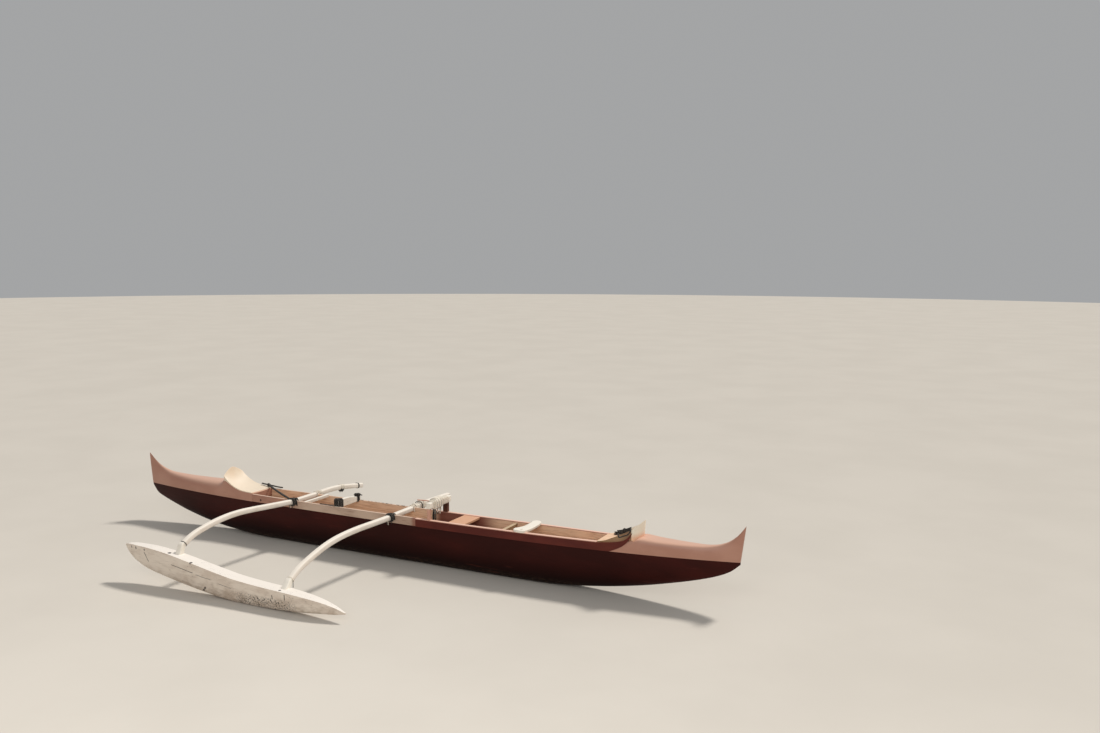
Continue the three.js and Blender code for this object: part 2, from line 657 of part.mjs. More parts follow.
for (const { name, deck, outer, rows, root } of [
  { name: 'bow', deck: BOW_DECK, outer: BOW, rows: BOW_GUARD, root: BOW_ROOT },
  { name: 'stern', deck: STERN_DECK, outer: STERN, rows: STERN_GUARD, root: STERN_ROOT },
]) {
  const end = deckedEnd(deck, outer).subtract(guardRoom(rows, GUARD_THICK + GAP));
  const endRoom = deckedEnd(deck, outer, GAP).subtract(guardRoom(rows, GUARD_THICK));
  add(`${name}_end`, end.subtract(aftRoom), 'ends');
  add(`${name}_guard`, guardWedge(rows, root).subtract(endRoom).subtract(aftRoom), 'cream');
}

// The boards along each side, notched for the booms, and the rails on the aft ones.
for (const [name, side] of Object.entries(SIDES)) {
  add(`fore_board_${name}`, foreBoard(side).subtract(boomRoom), 'strake');
  add(`aft_board_${name}`, aftBoard(side).subtract(boomRoom), 'redwood');
  add(`cap_rail_${name}`, capRail(side), 'cap');
}

// The booms, the float, and the posts between them.
const BOOMS = [
  { name: 'fore', rows: FORE_BOOM, x: FORE_BOOM_X },
  { name: 'aft', rows: AFT_BOOM, x: AFT_BOOM_X },
];
const floatRoom = float(GAP);
add('float', float(), 'white');
for (const { name, rows, x } of BOOMS) {
  const room = boom(rows, x, GAP);
  const foot = post(rows, x).subtract(floatRoom).subtract(room);
  add(`boom_${name}`, boom(rows, x), 'cream');
  add(`float_post_${name}`, foot, 'white');
  const footBand = band(rows, x, rows[0].y, FOOT_BAND.length, FOOT_BAND.thick);
  add(`foot_lashing_${name}`, footBand.subtract(room).subtract(post(rows, x, GAP)), 'cordage');
  for (const { at, y, length, thick, paint } of BANDS) {
    add(`${at}_${name}`, band(rows, x, y, length, thick).subtract(room), paint);
  }
}
for (const { at, boom: which, y, length, thick, paint } of TIP_BANDS) {
  const { rows, x } = BOOMS.find((b) => b.name === which);
  add(at, band(rows, x, y, length, thick).subtract(boom(rows, x, GAP)), paint);
}

// Thwarts and seats, fitted between the boards or into the hull.
for (const { at, x, y, z, paint } of THWARTS) {
  add(at, solid(box([x[0], -y, z[0]], [x[1], y, z[1]])).subtract(boardRoom).subtract(boomRoom), paint);
}
for (const { at, x, z, paint } of LOW_SEATS) {
  add(at, solid(box([x[0], -HALF_BEAM, z[0]], [x[1], HALF_BEAM, z[1]])).intersect(inside), paint);
}

// The thwart that lies on the rails, with round ends and a hole at its port end.
const plank = new THREE.Shape();
const { x: plankX, reach, hole, thick: depth } = RAIL_THWART;
const [plankMiddle, plankHalf] = [(plankX[0] + plankX[1]) / 2, (plankX[1] - plankX[0]) / 2];
plank.absarc(plankMiddle, reach - plankHalf, plankHalf, 0, Math.PI);
plank.absarc(plankMiddle, plankHalf - reach, plankHalf, Math.PI, 2 * Math.PI);
plank.holes.push(new THREE.Path().absarc(plankMiddle, -hole.y, hole.radius, 0, 2 * Math.PI, true));
const plankBody = new THREE.ExtrudeGeometry(plank, { depth, curveSegments: FINE.round, bevelEnabled: false });
plankBody.translate(0, 0, rim(plankMiddle) + STRAKE);
add('rail_thwart', solid(plankBody).subtract(railRoom), 'white');

// The raised crossbeam aft of the second boom, on a post at each side.
const raisedFoot = rim(RAISED.x[0]) + STRAKE - GAP;
for (const { name, y, wide, paint } of RAISED.posts) {
  const middle = (RAISED.x[0] + RAISED.x[1]) / 2;
  const corner = [middle - wide / 2, y - wide / 2, raisedFoot];
  const top = [middle + wide / 2, y + wide / 2, RAISED.z[0] - GAP];
  add(name, solid(box(corner, top)).subtract(railRoom), paint);
}
const raisedBeam = { at: 'raised_crossbeam', x: RAISED.x, y: RAISED.reach, z: RAISED.z };
const grownBeam = ({ x, y, z }, g) => (
  solid(box([x[0] - g, -y - g, z[0] - g], [x[1] + g, y + g, z[1] + g])));
add(raisedBeam.at, grownBeam(raisedBeam, 0), 'white');

// The cord wound around the two beams.
for (const { at, beam, y, thick, paint } of WRAPS) {
  const core = [...THWARTS, raisedBeam].find((b) => b.at === beam);
  const low = [core.x[0] - thick, y[0], core.z[0] - thick];
  const high = [core.x[1] + thick, y[1], core.z[1] + thick];
  add(at, solid(box(low, high)).subtract(grownBeam(core, GAP)), paint);
}

// The cord drawn across the bow end of the cockpit, and the rope laid on the stern guard.
function cordAlong(points, radius) {
  const extrudePath = new THREE.CatmullRomCurve3(points);
  const section = new THREE.Shape().absarc(0, 0, radius, 0, 2 * Math.PI);
  const options = { steps: FINE.cord, curveSegments: FINE.round, extrudePath, bevelEnabled: false };
  return solid(new THREE.ExtrudeGeometry(section, options));
}

// A guard with the clearance above it, to cut from what lies on it.
function guardSeat(rows, root) {
  const wedge = guardWedge(rows, root);
  return wedge.add(wedge.translate([inwards(rows) * GAP, 0, GAP]));
}

const knotAt = V(...CORD.knot);
const ball = new THREE.SphereGeometry(1, FINE.round, FINE.round).scale(...CORD.size).translate(...CORD.knot);
const hitchRoom = band(FORE_BOOM, FORE_BOOM_X, BANDS[0].y, BANDS[0].length, BANDS[0].thick, GAP);
const drawn = CORD_TAILS.reduce(
  (sum, end) => sum.add(cordAlong([knotAt, V(...end)], CORD.radius)),
  cordAlong([knotAt, V(...CORD.hitch)], CORD.radius).add(solid(ball)),
);
const cordRoom = boardRoom.add(boomRoom).add(hitchRoom).add(guardSeat(BOW_GUARD, BOW_ROOT));
add('drawn_cord', drawn.subtract(cordRoom), 'cordage');

const sternGrid = guardGrid(STERN_GUARD);
const hankPath = ROPE_HANK.rows.map((i) => (
  sternGrid[i][ROPE_HANK.column].clone().add(V(0, 0, ROPE_HANK.radius / 2))));
const hank = cordAlong(hankPath, ROPE_HANK.radius).subtract(guardSeat(STERN_GUARD, STERN_ROOT));
add('rope_hank', hank, 'cordage');

export default canoe;
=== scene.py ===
# %% [markdown]
# This lesson dresses a wooden outrigger canoe. The solids of the canoe come from a packed file and stay
# where they are. Each step looks at one real piece, says how it could be made in Blender, and then makes it
# at the solid's own place, with finer curves, real cord and a finish that has grain and wear.

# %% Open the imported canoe
import math
import random

import bmesh
import bpy
from mathutils import Matrix, Vector
from mathutils.bvhtree import BVHTree


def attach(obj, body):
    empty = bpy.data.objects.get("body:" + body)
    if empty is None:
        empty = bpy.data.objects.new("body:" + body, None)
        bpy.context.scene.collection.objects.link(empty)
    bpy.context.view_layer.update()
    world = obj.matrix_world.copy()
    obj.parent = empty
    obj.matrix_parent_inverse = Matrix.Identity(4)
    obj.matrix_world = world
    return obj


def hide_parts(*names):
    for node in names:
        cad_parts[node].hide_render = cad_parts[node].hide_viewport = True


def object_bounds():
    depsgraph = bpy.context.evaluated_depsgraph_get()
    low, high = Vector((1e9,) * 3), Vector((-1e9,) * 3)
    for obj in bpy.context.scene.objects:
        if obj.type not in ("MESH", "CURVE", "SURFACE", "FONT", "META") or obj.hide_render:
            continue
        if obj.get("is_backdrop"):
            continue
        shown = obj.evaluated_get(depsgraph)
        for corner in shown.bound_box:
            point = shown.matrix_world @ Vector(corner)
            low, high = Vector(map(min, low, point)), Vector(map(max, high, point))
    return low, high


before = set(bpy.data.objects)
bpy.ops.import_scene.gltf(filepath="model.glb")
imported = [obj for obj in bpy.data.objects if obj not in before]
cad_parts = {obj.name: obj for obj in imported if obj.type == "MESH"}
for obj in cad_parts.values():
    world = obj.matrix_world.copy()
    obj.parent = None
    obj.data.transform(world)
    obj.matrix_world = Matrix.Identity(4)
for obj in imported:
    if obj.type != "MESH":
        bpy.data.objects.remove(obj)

cad_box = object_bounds()
MM = 0.001
print("solids:", len(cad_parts), "box:", [round(v, 3) for corner in cad_box for v in corner])

# %% [markdown]
# The camera comes first, because every later choice is judged through it. A lens is set by its focal length
# and the width of the sensor. The direction is given by three turns: to the side, downwards, and a small
# roll. Building the camera's axes by hand keeps each turn plain to read.

# %% The camera
CAMERA_AT = (5.999, -8.568, 3.220)
CAMERA_TURN = {"side": -26.46, "down": 6.44, "roll": 0.20}   # degrees
LENS, SENSOR = 32.74, 36                                     # millimetres


def make_camera():
    side, down, roll = (math.radians(CAMERA_TURN[key]) for key in ("side", "down", "roll"))
    ahead = Vector((math.sin(side) * math.cos(down), math.cos(side) * math.cos(down), -math.sin(down)))
    right = Vector((math.cos(side), -math.sin(side), 0))
    up = right.cross(ahead)
    rolled = right * math.cos(roll) + up * math.sin(roll)
    axes = Matrix((rolled, rolled.cross(ahead), -ahead)).transposed().to_4x4()
    data = bpy.data.cameras.new("camera")
    data.lens = LENS
    data.sensor_width = SENSOR
    camera = bpy.data.objects.new("camera", data)
    camera.matrix_world = Matrix.Translation(CAMERA_AT) @ axes
    bpy.context.collection.objects.link(camera)
    bpy.context.scene.camera = camera
    return camera


print("camera:", [round(v, 3) for v in make_camera().location])

# %% [markdown]
# A finish is a small network of nodes. To keep each one short, a helper class makes the nodes that all of
# them share: noise that can be stretched along one direction, a soft threshold, a mix of two colours, and a
# bump. Every pattern reads Object coordinates, so that it has the same scale in metres on each piece.


# %% A helper for finishes
def tint(red, green, blue):
    """A colour given as 0 to 255, as linear values for a shader."""
    channels = [v / 255 for v in (red, green, blue)]
    linear = [v / 12.92 if v <= 0.04045 else ((v + 0.055) / 1.055) ** 2.4 for v in channels]
    return (*linear, 1)


class Finish:
    def __init__(self, name, roughness, gloss=0.5, sheen=0.0):
        self.material = bpy.data.materials.new(name)
        self.material.use_nodes = True
        self.tree = self.material.node_tree
        self.shader = self.tree.nodes["Principled BSDF"]
        self.shader.inputs["Roughness"].default_value = roughness
        self.shader.inputs["Specular IOR Level"].default_value = gloss
        self.shader.inputs["Sheen Weight"].default_value = sheen
        self.place = self.tree.nodes.new("ShaderNodeTexCoord").outputs["Object"]

    def node(self, kind, inputs, **settings):
        made = self.tree.nodes.new(kind)
        for key, value in settings.items():
            setattr(made, key, value)
        for key, value in inputs.items():
            if isinstance(value, bpy.types.NodeSocket):
                self.tree.links.new(value, made.inputs[key])
            else:
                made.inputs[key].default_value = value
        return made

    def noise(self, scale, stretch=(1, 1, 1), detail=4, coarse=0.55):
        place = self.node("ShaderNodeMapping", {"Vector": self.place, "Scale": stretch}).outputs[0]
        inputs = {"Vector": place, "Scale": scale, "Detail": detail, "Roughness": coarse}
        return self.node("ShaderNodeTexNoise", inputs).outputs[0]

    def soft(self, value, low, high):
        """0 below low, 1 above high, and smooth between."""
        inputs = {"Value": value, "From Min": low, "From Max": high}
        return self.node("ShaderNodeMapRange", inputs, interpolation_type="SMOOTHSTEP").outputs[0]

    def sum(self, kind, first, second):
        return self.node("ShaderNodeMath", {0: first, 1: second}, operation=kind).outputs[0]

    def both(self, first, second):
        """A product: 1 only where both are 1."""
        return self.sum("MULTIPLY", first, second)

    def either(self, first, second):
        return self.sum("MAXIMUM", first, second)

    def vector(self, kind, first, second, output="Vector"):
        return self.node("ShaderNodeVectorMath", {0: first, 1: second}, operation=kind).outputs[output]

    def axis(self, name):
        return self.node("ShaderNodeSeparateXYZ", {0: self.place}).outputs[name]

    def span(self, name, rise, fall):
        """1 along a stretch of an axis, rising between two places and falling between two others."""
        return self.both(self.soft(self.axis(name), *rise), self.soft(self.axis(name), *fall))

    def upwards(self):
        """1 on faces that look up, 0 on upright ones."""
        normal = self.node("ShaderNodeNewGeometry", {}).outputs["Normal"]
        return self.soft(self.node("ShaderNodeSeparateXYZ", {0: normal}).outputs["Z"], 0.25, 0.9)

    def spot(self, centre, radius):
        """1 near a point, fading out around the radius."""
        away = self.vector("DISTANCE", self.place, centre, "Value")
        return self.soft(away, radius * 1.25, radius * 0.75)

    def mix(self, factor, first, second):
        return self.node("ShaderNodeMix", {0: factor, 6: first, 7: second}, data_type="RGBA").outputs[2]

    def colour(self, value):
        self.tree.links.new(value, self.shader.inputs["Base Color"])

    def rough(self, value, low, high):
        inputs = {"Value": value, "To Min": low, "To Max": high}
        made = self.node("ShaderNodeMapRange", inputs).outputs[0]
        self.tree.links.new(made, self.shader.inputs["Roughness"])

    def bump(self, height, distance, strength=1.0):
        inputs = {"Height": height, "Distance": distance, "Strength": strength}
        made = self.node("ShaderNodeBump", inputs).outputs[0]
        self.tree.links.new(made, self.shader.inputs["Normal"])


# %% [markdown]
# The hull below its rim is painted a maroon that is almost black. Paint on a boat that is dragged over sand
# is never even: it has faint runs along the planks, and fine scratches catch the light. It is also painted
# duller and darker towards the keel, which is painted shade where the hull turns under. The grain under the
# paint shows as a very shallow bump along the hull.


# %% Dark paint of the hull
def hull_paint():
    coat = Finish("dark_maroon_paint", 0.45, gloss=0.12)
    patches = coat.noise(2.2, (0.5, 1, 1.6))
    runs = coat.noise(26, (0.12, 1, 1.8))
    colour = coat.mix(coat.soft(patches, 0.35, 0.7), tint(46, 11, 7), tint(62, 17, 12))
    # Painted shade: darker towards the keel, where the hull turns under.
    colour = coat.mix(coat.soft(coat.axis("Z"), 0.04, 0.34), tint(26, 8, 6), colour)
    scuffs = coat.both(coat.soft(runs, 0.6, 0.72), coat.soft(patches, 0.5, 0.65))
    colour = coat.mix(coat.both(scuffs, 0.4), colour, tint(110, 54, 42))
    sand = coat.noise(60, (0.6, 1, 1))
    dusty = coat.both(coat.soft(coat.axis("Z"), 0.1, 0.02), coat.soft(sand, 0.5, 0.62))
    colour = coat.mix(coat.both(dusty, 0.3), colour, tint(112, 88, 66))
    coat.colour(colour)
    coat.rough(runs, 0.38, 0.6)
    coat.bump(runs, 0.0006)
    return coat.material


DARK_PAINT = hull_paint()

# %% [markdown]
# The other painted wood differs only in its colours and its wear, so one function makes all of it. It has
# the body colour, a second one for patches, a paler one on faces that look up, which is painted sunlight with
# some sun bleaching, and streaks of dirt or bare wood that run along the boards. The crest of the stern guard
# is given painted light by its place on the canoe: it is painted brighter than the rest of the guard, and its
# foot gets a warm painted glow.

# %% Light paints
GRAIN_ALONG, GRAIN_ACROSS, GRAIN_UP = (0.14, 1.6, 1.6), (1.4, 0.16, 1.4), (1.4, 1.4, 0.2)
CREST_FROM = (2.6, 2.64)        # metres along the canoe, where the stern crest begins
CREST_FOOT = (0.66, 0.58)       # metres up, where its foot begins
CREST_LIGHT_SHARE = 0.85


def painted_wood(name, tones, streaks=0.5, roughness=(0.4, 0.58), way=GRAIN_ALONG, gloss=0.5, foot=None):
    """The tones are those of the body, of patches, of faces that look up, painted paler as sunlight with some
    sun bleaching, and of dirt.
    """
    body, patch, sunlit_and_bleached, dirt = (tint(*tone) for tone in tones)
    coat = Finish(name, roughness[0], gloss)
    patches = coat.noise(5, (0.5, 1, 1))
    grain = coat.noise(46, way, detail=6)
    fine = coat.noise(240, (0.3, 1, 1), detail=3)
    colour = coat.mix(coat.soft(patches, 0.36, 0.66), body, patch)
    # Painted sunlight, with some sun bleaching: faces that look up take the paler tone.
    colour = coat.mix(coat.both(coat.upwards(), 0.85), colour, sunlit_and_bleached)
    # Painted light on the stern crest: it is painted brighter than the rest of the guard, with a warm painted
    # glow at its foot.
    if foot:
        crest = coat.soft(coat.axis("X"), *CREST_FROM)
        colour = coat.mix(coat.both(crest, CREST_LIGHT_SHARE), colour, tint(250, 241, 221))
        low = coat.both(crest, coat.soft(coat.axis("Z"), *CREST_FOOT))
        colour = coat.mix(coat.both(low, CREST_LIGHT_SHARE), colour, tint(*foot))
    marks = coat.both(coat.soft(grain, 0.6, 0.74), coat.soft(patches, 0.3, 0.7))
    colour = coat.mix(coat.both(marks, streaks), colour, dirt)
    coat.colour(colour)
    coat.rough(patches, *roughness)
    coat.bump(coat.sum("ADD", grain, coat.both(fine, 0.35)), 0.0009)
    return coat.material


PINK_PAINT = painted_wood(
    "pink_tan_deck_paint", [(172, 123, 103), (182, 134, 114), (220, 178, 156), (140, 94, 74)],
    0.3, (0.3, 0.42))
RED_PAINT = painted_wood(
    "red_brown_paint", [(82, 26, 18), (98, 37, 26), (150, 84, 66), (44, 14, 10)],
    0.6, (0.4, 0.55), gloss=0.25)
CAP_PAINT = painted_wood(
    "pale_pink_paint", [(200, 150, 129), (212, 166, 146), (240, 200, 181), (146, 96, 78)])
SEAT_PAINT = painted_wood(
    "orange_tan_paint", [(198, 148, 113), (208, 158, 124), (216, 166, 133), (150, 98, 70)])
BARE_WOOD = painted_wood(
    "dark_bare_wood", [(100, 58, 40), (76, 44, 30), (150, 106, 76), (44, 26, 18)],
    0.8, (0.6, 0.8), GRAIN_UP, 0.3)
CREAM_PAINT = painted_wood(
    "cream_paint", [(238, 228, 216), (228, 216, 202), (238, 230, 218), (178, 160, 140)],
    0.45, (0.48, 0.62), GRAIN_ACROSS, 0.3)
# The foot tone of the guard is a warm painted glow at the foot of the stern crest.
GUARD_PAINT = painted_wood(
    "smooth_cream_paint", [(234, 212, 186), (238, 220, 197), (232, 217, 197), (196, 166, 134)],
    0.3, (0.48, 0.6), gloss=0.35, foot=(240, 180, 142))
OLIVE_PAINT = painted_wood(
    "weathered_olive_paint", [(160, 130, 94), (140, 104, 74), (200, 176, 144), (98, 70, 48)],
    0.7, (0.45, 0.6))
PLANK_PAINT = painted_wood(
    "off_white_paint", [(246, 239, 226), (234, 224, 209), (240, 233, 221), (150, 130, 110)],
    0.6, (0.42, 0.6), GRAIN_ACROSS)
print("paints:", len(bpy.data.materials))

# %% [markdown]
# The boards above the rim are tan towards the bow and weather to a greyish brown aft of the first boom. A
# mix that is driven by the place along the hull gives both on one board. The far rail has dark nicks along
# its top between the crossbeam and the aft boom, and one board shows a knot of the wood.

# %% Tan boards
GREY_FROM = (-1.45, -1.15)                      # metres along the canoe
WORN_END = (0.22, 0.27)
NICKED = ((-0.72, -0.66), (-0.03, -0.09))       # where the nicks begin and end
WOOD_KNOT = ((-1.799, -0.178, 0.459), 0.013)    # its place and radius


def board_paint():
    coat = Finish("tan_board_paint", 0.5)
    patches = coat.noise(7, (0.35, 1, 1))
    grain = coat.noise(60, (0.1, 1.5, 1.5), detail=6)
    tan = coat.mix(coat.soft(patches, 0.36, 0.66), tint(182, 135, 113), tint(168, 121, 101))
    grey = coat.mix(coat.soft(patches, 0.36, 0.66), tint(198, 172, 152), tint(174, 146, 127))
    colour = coat.mix(coat.soft(coat.axis("X"), *GREY_FROM), tan, grey)
    # Painted sunlight, with some sun bleaching: faces that look up are paler.
    colour = coat.mix(coat.both(coat.upwards(), 0.9), colour, tint(228, 200, 180))
    streaks = coat.both(coat.soft(grain, 0.54, 0.7), coat.soft(patches, 0.32, 0.62))
    colour = coat.mix(coat.both(streaks, 0.65), colour, tint(118, 82, 64))
    colour = coat.mix(coat.both(coat.soft(coat.axis("X"), *WORN_END), 0.75), colour, tint(132, 72, 52))
    nicks = coat.both(coat.soft(coat.noise(55, (0.5, 1, 1)), 0.5, 0.58), coat.upwards())
    far_rail = coat.both(coat.span("X", *NICKED), coat.soft(coat.axis("Y"), 0.16, 0.17))
    colour = coat.mix(coat.both(coat.both(nicks, far_rail), 0.9), colour, tint(58, 42, 34))
    colour = coat.mix(coat.spot(*WOOD_KNOT), colour, tint(66, 38, 28))
    coat.colour(colour)
    coat.rough(patches, 0.42, 0.62)
    coat.bump(grain, 0.0009)
    return coat.material


BOARD_PAINT = board_paint()

# %% [markdown]
# Inside, the canoe is bare brown wood whose grain runs with the hull. It is painted darker low down, a
# painted shade deep in the hollow, and redder around the raised beam.

# %% Bare wood of the inside
REDDER = ((0.28, 0.38), (1.1, 0.85))            # metres along the canoe, where this begins and ends


def bare_inside():
    coat = Finish("bare_brown_inside", 0.7, gloss=0.3)
    patches = coat.noise(4, (0.4, 1, 1.2))
    grain = coat.noise(70, (0.07, 1.3, 1.3), detail=7, coarse=0.6)
    colour = coat.mix(coat.soft(patches, 0.3, 0.7), tint(242, 208, 176), tint(228, 192, 162))
    colour = coat.mix(coat.soft(grain, 0.45, 0.74), colour, tint(192, 152, 122))
    colour = coat.mix(coat.both(coat.span("X", *REDDER), 0.9), colour, tint(124, 62, 50))
    # Painted shade: darker low down in the hollow.
    colour = coat.mix(coat.soft(coat.axis("Z"), 0.02, 0.3), tint(92, 62, 46), colour)
    coat.colour(colour)
    coat.rough(grain, 0.6, 0.82)
    coat.bump(grain, 0.0012)
    return coat.material


INSIDE_WOOD = bare_inside()

# %% [markdown]
# Old paint on the float has split along the grain and across it. A crack is a thin dark line between two
# points of the float's side. The distance from a line can be worked out with a few vector nodes, and noise
# added to the place makes the line ragged. So one row of five numbers is enough for each crack.

# %% Cracks in the float's paint
CRACKS = [    # x and z of both ends in metres, and the half width
    (-1.375, 0.252, -1.100, 0.212, 0.0019),
    (-1.060, 0.200, -0.870, 0.180, 0.0012),
    (-0.770, 0.155, -0.620, 0.138, 0.0010),
    (-1.748, 0.318, -1.695, 0.236, 0.0023),
    (-0.130, 0.150, -0.125, 0.118, 0.0026),
    (0.012, 0.172, 0.016, 0.128, 0.0030),
    (-0.958, 0.086, -0.950, 0.092, 0.0060),
    (-0.980, 0.060, -0.972, 0.066, 0.0060),
    (-1.940, 0.352, -1.936, 0.340, 0.0035),
    (-1.870, 0.352, -1.866, 0.338, 0.0045),
    (-1.745, 0.350, -1.741, 0.338, 0.0035),
]
RAGGED = 0.012         # metres that noise may move a crack


def crack(coat, wander, x1, z1, x2, z2, width):
    """1 on one crack, 0 away from it."""
    bent = coat.vector("ADD", coat.vector("MULTIPLY", coat.place, (1, 0, 1)), wander)
    start = Vector((x1, 0, z1))
    run = Vector((x2, 0, z2)) - start
    from_start = coat.vector("SUBTRACT", bent, start)
    share = coat.vector("DOT_PRODUCT", from_start, run / run.length_squared, "Value")
    share = coat.node("ShaderNodeClamp", {0: share}).outputs[0]
    on_line = coat.node("ShaderNodeVectorMath", {0: run, 3: share}, operation="SCALE").outputs[0]
    away = coat.vector("DISTANCE", from_start, on_line, "Value")
    return coat.sum("SUBTRACT", 1.0, coat.soft(away, width, width * 2.2))


def all_cracks(coat):
    shake = coat.node("ShaderNodeTexNoise", {"Vector": coat.place, "Scale": 22.0}).outputs["Color"]
    wander = coat.vector("MULTIPLY", coat.vector("SUBTRACT", shake, (0.5, 0.5, 0.5)), (RAGGED, 0, RAGGED))
    lines = 0.0
    for row in CRACKS:
        lines = coat.either(crack(coat, wander, *row), lines)
    return lines


# %% [markdown]
# The float itself is an old white, grey-beige on its sides and painted paler on top as sunlight with some
# sun bleaching, with dirt towards the belly.
# Paint has come off in dark specks. They are few and scattered, except on a stretch of the belly that rubs
# on sand.

# %% Weathered white paint of the float
CHIPS = [((-1.432, -1.826, 0.351), 0.018), ((-1.125, -1.855, 0.302), 0.015), ((-0.062, -1.838, 0.196), 0.013)]
RUBBED = ((-0.62, -0.5), (0.16, 0.05))          # metres along the canoe, where the belly is rubbed


def fallen_paint(coat, patches):
    """1 where the paint is gone."""
    specks = coat.noise(130, (0.8, 1, 1), detail=2)
    dots = coat.noise(85, (0.8, 1, 1), detail=1)
    belly = coat.both(coat.span("X", *RUBBED), coat.soft(coat.axis("Z"), 0.13, 0.1))
    fallen = coat.both(coat.soft(specks, 0.66, 0.71), coat.soft(patches, 0.45, 0.56))
    for rubbed in (coat.soft(specks, 0.57, 0.63), coat.soft(dots, 0.6, 0.64)):
        fallen = coat.either(fallen, coat.both(belly, rubbed))
    for centre, radius in CHIPS:
        fallen = coat.either(fallen, coat.spot(centre, radius))
    return fallen


def float_paint():
    coat = Finish("weathered_white_paint", 0.5)
    patches = coat.noise(9, (0.5, 1, 1.2))
    grain = coat.noise(90, (0.06, 1.6, 1.6), detail=6)
    dirt = coat.noise(18, (0.7, 1, 1.4))
    colour = coat.mix(coat.soft(patches, 0.35, 0.68), tint(230, 217, 202), tint(212, 196, 180))
    colour = coat.mix(coat.both(coat.soft(grain, 0.52, 0.72), 0.45), colour, tint(172, 154, 136))
    low = coat.both(coat.soft(coat.axis("Z"), 0.2, 0.03), coat.soft(dirt, 0.35, 0.65))
    colour = coat.mix(coat.both(low, 0.45), colour, tint(150, 126, 102))
    colour = coat.mix(coat.both(coat.soft(dirt, 0.58, 0.7), 0.25), colour, tint(168, 148, 126))
    # Painted sunlight, with some sun bleaching: the top is paler.
    colour = coat.mix(coat.both(coat.upwards(), 0.9), colour, tint(238, 231, 223))
    fallen, lines = fallen_paint(coat, patches), all_cracks(coat)
    colour = coat.mix(coat.both(fallen, 0.92), colour, tint(30, 22, 19))
    coat.colour(coat.mix(coat.both(lines, 0.9), colour, tint(40, 30, 26)))
    coat.rough(patches, 0.42, 0.66)
    coat.bump(coat.sum("SUBTRACT", coat.both(grain, 0.5), coat.either(lines, fallen)), 0.0012)
    return coat.material


FLOAT_PAINT = float_paint()

# %% [markdown]
# Cord takes its look from its twist. The twist is real geometry further down, so the finish only needs
# fibres: a fine noise in the colour and the bump, high roughness, and a touch of sheen for the fuzz.


# %% Cord and twine
def cord_finish(name, dark, light, fleck, flecks):
    coat = Finish(name, 0.85, gloss=0.25, sheen=0.2)
    fibres = coat.noise(700, detail=3)
    patches = coat.noise(150, detail=3)
    colour = coat.mix(coat.soft(fibres, 0.35, 0.65), tint(*dark), tint(*light))
    coat.colour(coat.mix(coat.both(coat.soft(patches, 0.58, 0.66), flecks), colour, tint(*fleck)))
    coat.bump(fibres, 0.0007)
    return coat.material


BLACK_CORD = cord_finish("black_cord", (20, 17, 15), (46, 40, 36), (176, 164, 148), 0.5)
PALE_TWINE = cord_finish("pale_twine", (222, 212, 195), (243, 235, 221), (150, 138, 122), 0.35)
print("finishes:", [m.name for m in bpy.data.materials])

# %% [markdown]
# The hull's shape is a set of smooth lines: how high the keel runs, how wide the hull is and how high its
# rim lies, each at any place along it. Lines given by a table are read with a curve that never overshoots
# its rows. All tables are in millimetres with +X towards the stern.


# %% Lines of the hull
BOW, STERN = -3656, 3650
MIDDLE, HALF_LENGTH = (BOW + STERN) / 2, (STERN - BOW) / 2
HALF_BEAM, STEM, PLAN_POWER = 188, 9, 3.56
RIM_LOW, RISE_AT_BOW, RISE_AT_STERN = 426, 5, 47
KEEL = [
    (BOW, 404), (-3580, 322), (-3450, 272), (-3250, 212), (-3000, 145), (-2750, 90), (-2500, 50),
    (-2200, 20), (-1850, 0), (1600, 0), (1900, 13), (2300, 56), (2700, 123), (3050, 204), (3390, 300),
    (3555, 372), (STERN, 450),
]


def steps(low, high, count):
    return [low + (high - low) * i / count for i in range(count + 1)]


def blend(first, second, share):
    return first + (second - first) * share


def eased(x, low, high):
    """0 up to low, 1 from high on, and a smooth rise between."""
    t = min(max((x - low) / (high - low), 0), 1)
    return t * t * (3 - 2 * t)


def along(rows, x, column=1):
    """A value of a table at x, on a smooth curve through its rows."""
    rows = sorted(rows)
    last = len(rows) - 1
    x = min(max(x, rows[0][0]), rows[last][0])
    i = max(k for k in range(last) if rows[k][0] <= x)

    def slope(k, other):
        if not 0 < k < last:
            return (rows[other][column] - rows[k][column]) / (rows[other][0] - rows[k][0])
        before = (rows[k][column] - rows[k - 1][column]) / (rows[k][0] - rows[k - 1][0])
        after = (rows[k + 1][column] - rows[k][column]) / (rows[k + 1][0] - rows[k][0])
        return 0 if before * after <= 0 else 2 * before * after / (before + after)

    span = rows[i + 1][0] - rows[i][0]
    t = (x - rows[i][0]) / span
    first, second = rows[i][column], rows[i + 1][column]
    lead, tail = slope(i, i + 1) * span, slope(i + 1, i) * span
    return ((2 * t ** 3 - 3 * t ** 2 + 1) * first + (t ** 3 - 2 * t ** 2 + t) * lead
            + (3 * t ** 2 - 2 * t ** 3) * second + (t ** 3 - t ** 2) * tail)


def part_way(x):
    return (x - MIDDLE) / HALF_LENGTH


def half_beam(x):
    return STEM + (HALF_BEAM - STEM) * max(0, 1 - abs(part_way(x)) ** PLAN_POWER)


def rim(x):
    rise = RISE_AT_BOW if x < MIDDLE else RISE_AT_STERN
    return RIM_LOW + rise * part_way(x) ** 2


print("rim at bow, middle and stern:", [round(rim(x)) for x in (BOW, MIDDLE, STERN)])

# %% [markdown]
# Most pieces of a boat are a row of sections with a skin drawn over them, which is called a loft. In bmesh
# that is a circle moved onto the first section, then extruded edge by edge to each next one, and closed at
# both ends. One function does this for every piece. A second one turns the result into an object: it marks
# the sharp edges, can round them with a Bevel modifier, hangs the object on the canoe's body and hides the
# solid that it stands for.


# %% Lofting and placing
def rim_edges(bm, ring):
    return [bm.edges.get((ring[i - 1], ring[i])) for i in range(len(ring))]


def put(verts, points):
    for vert, point in zip(verts, points):
        vert.co = Vector(point) * MM


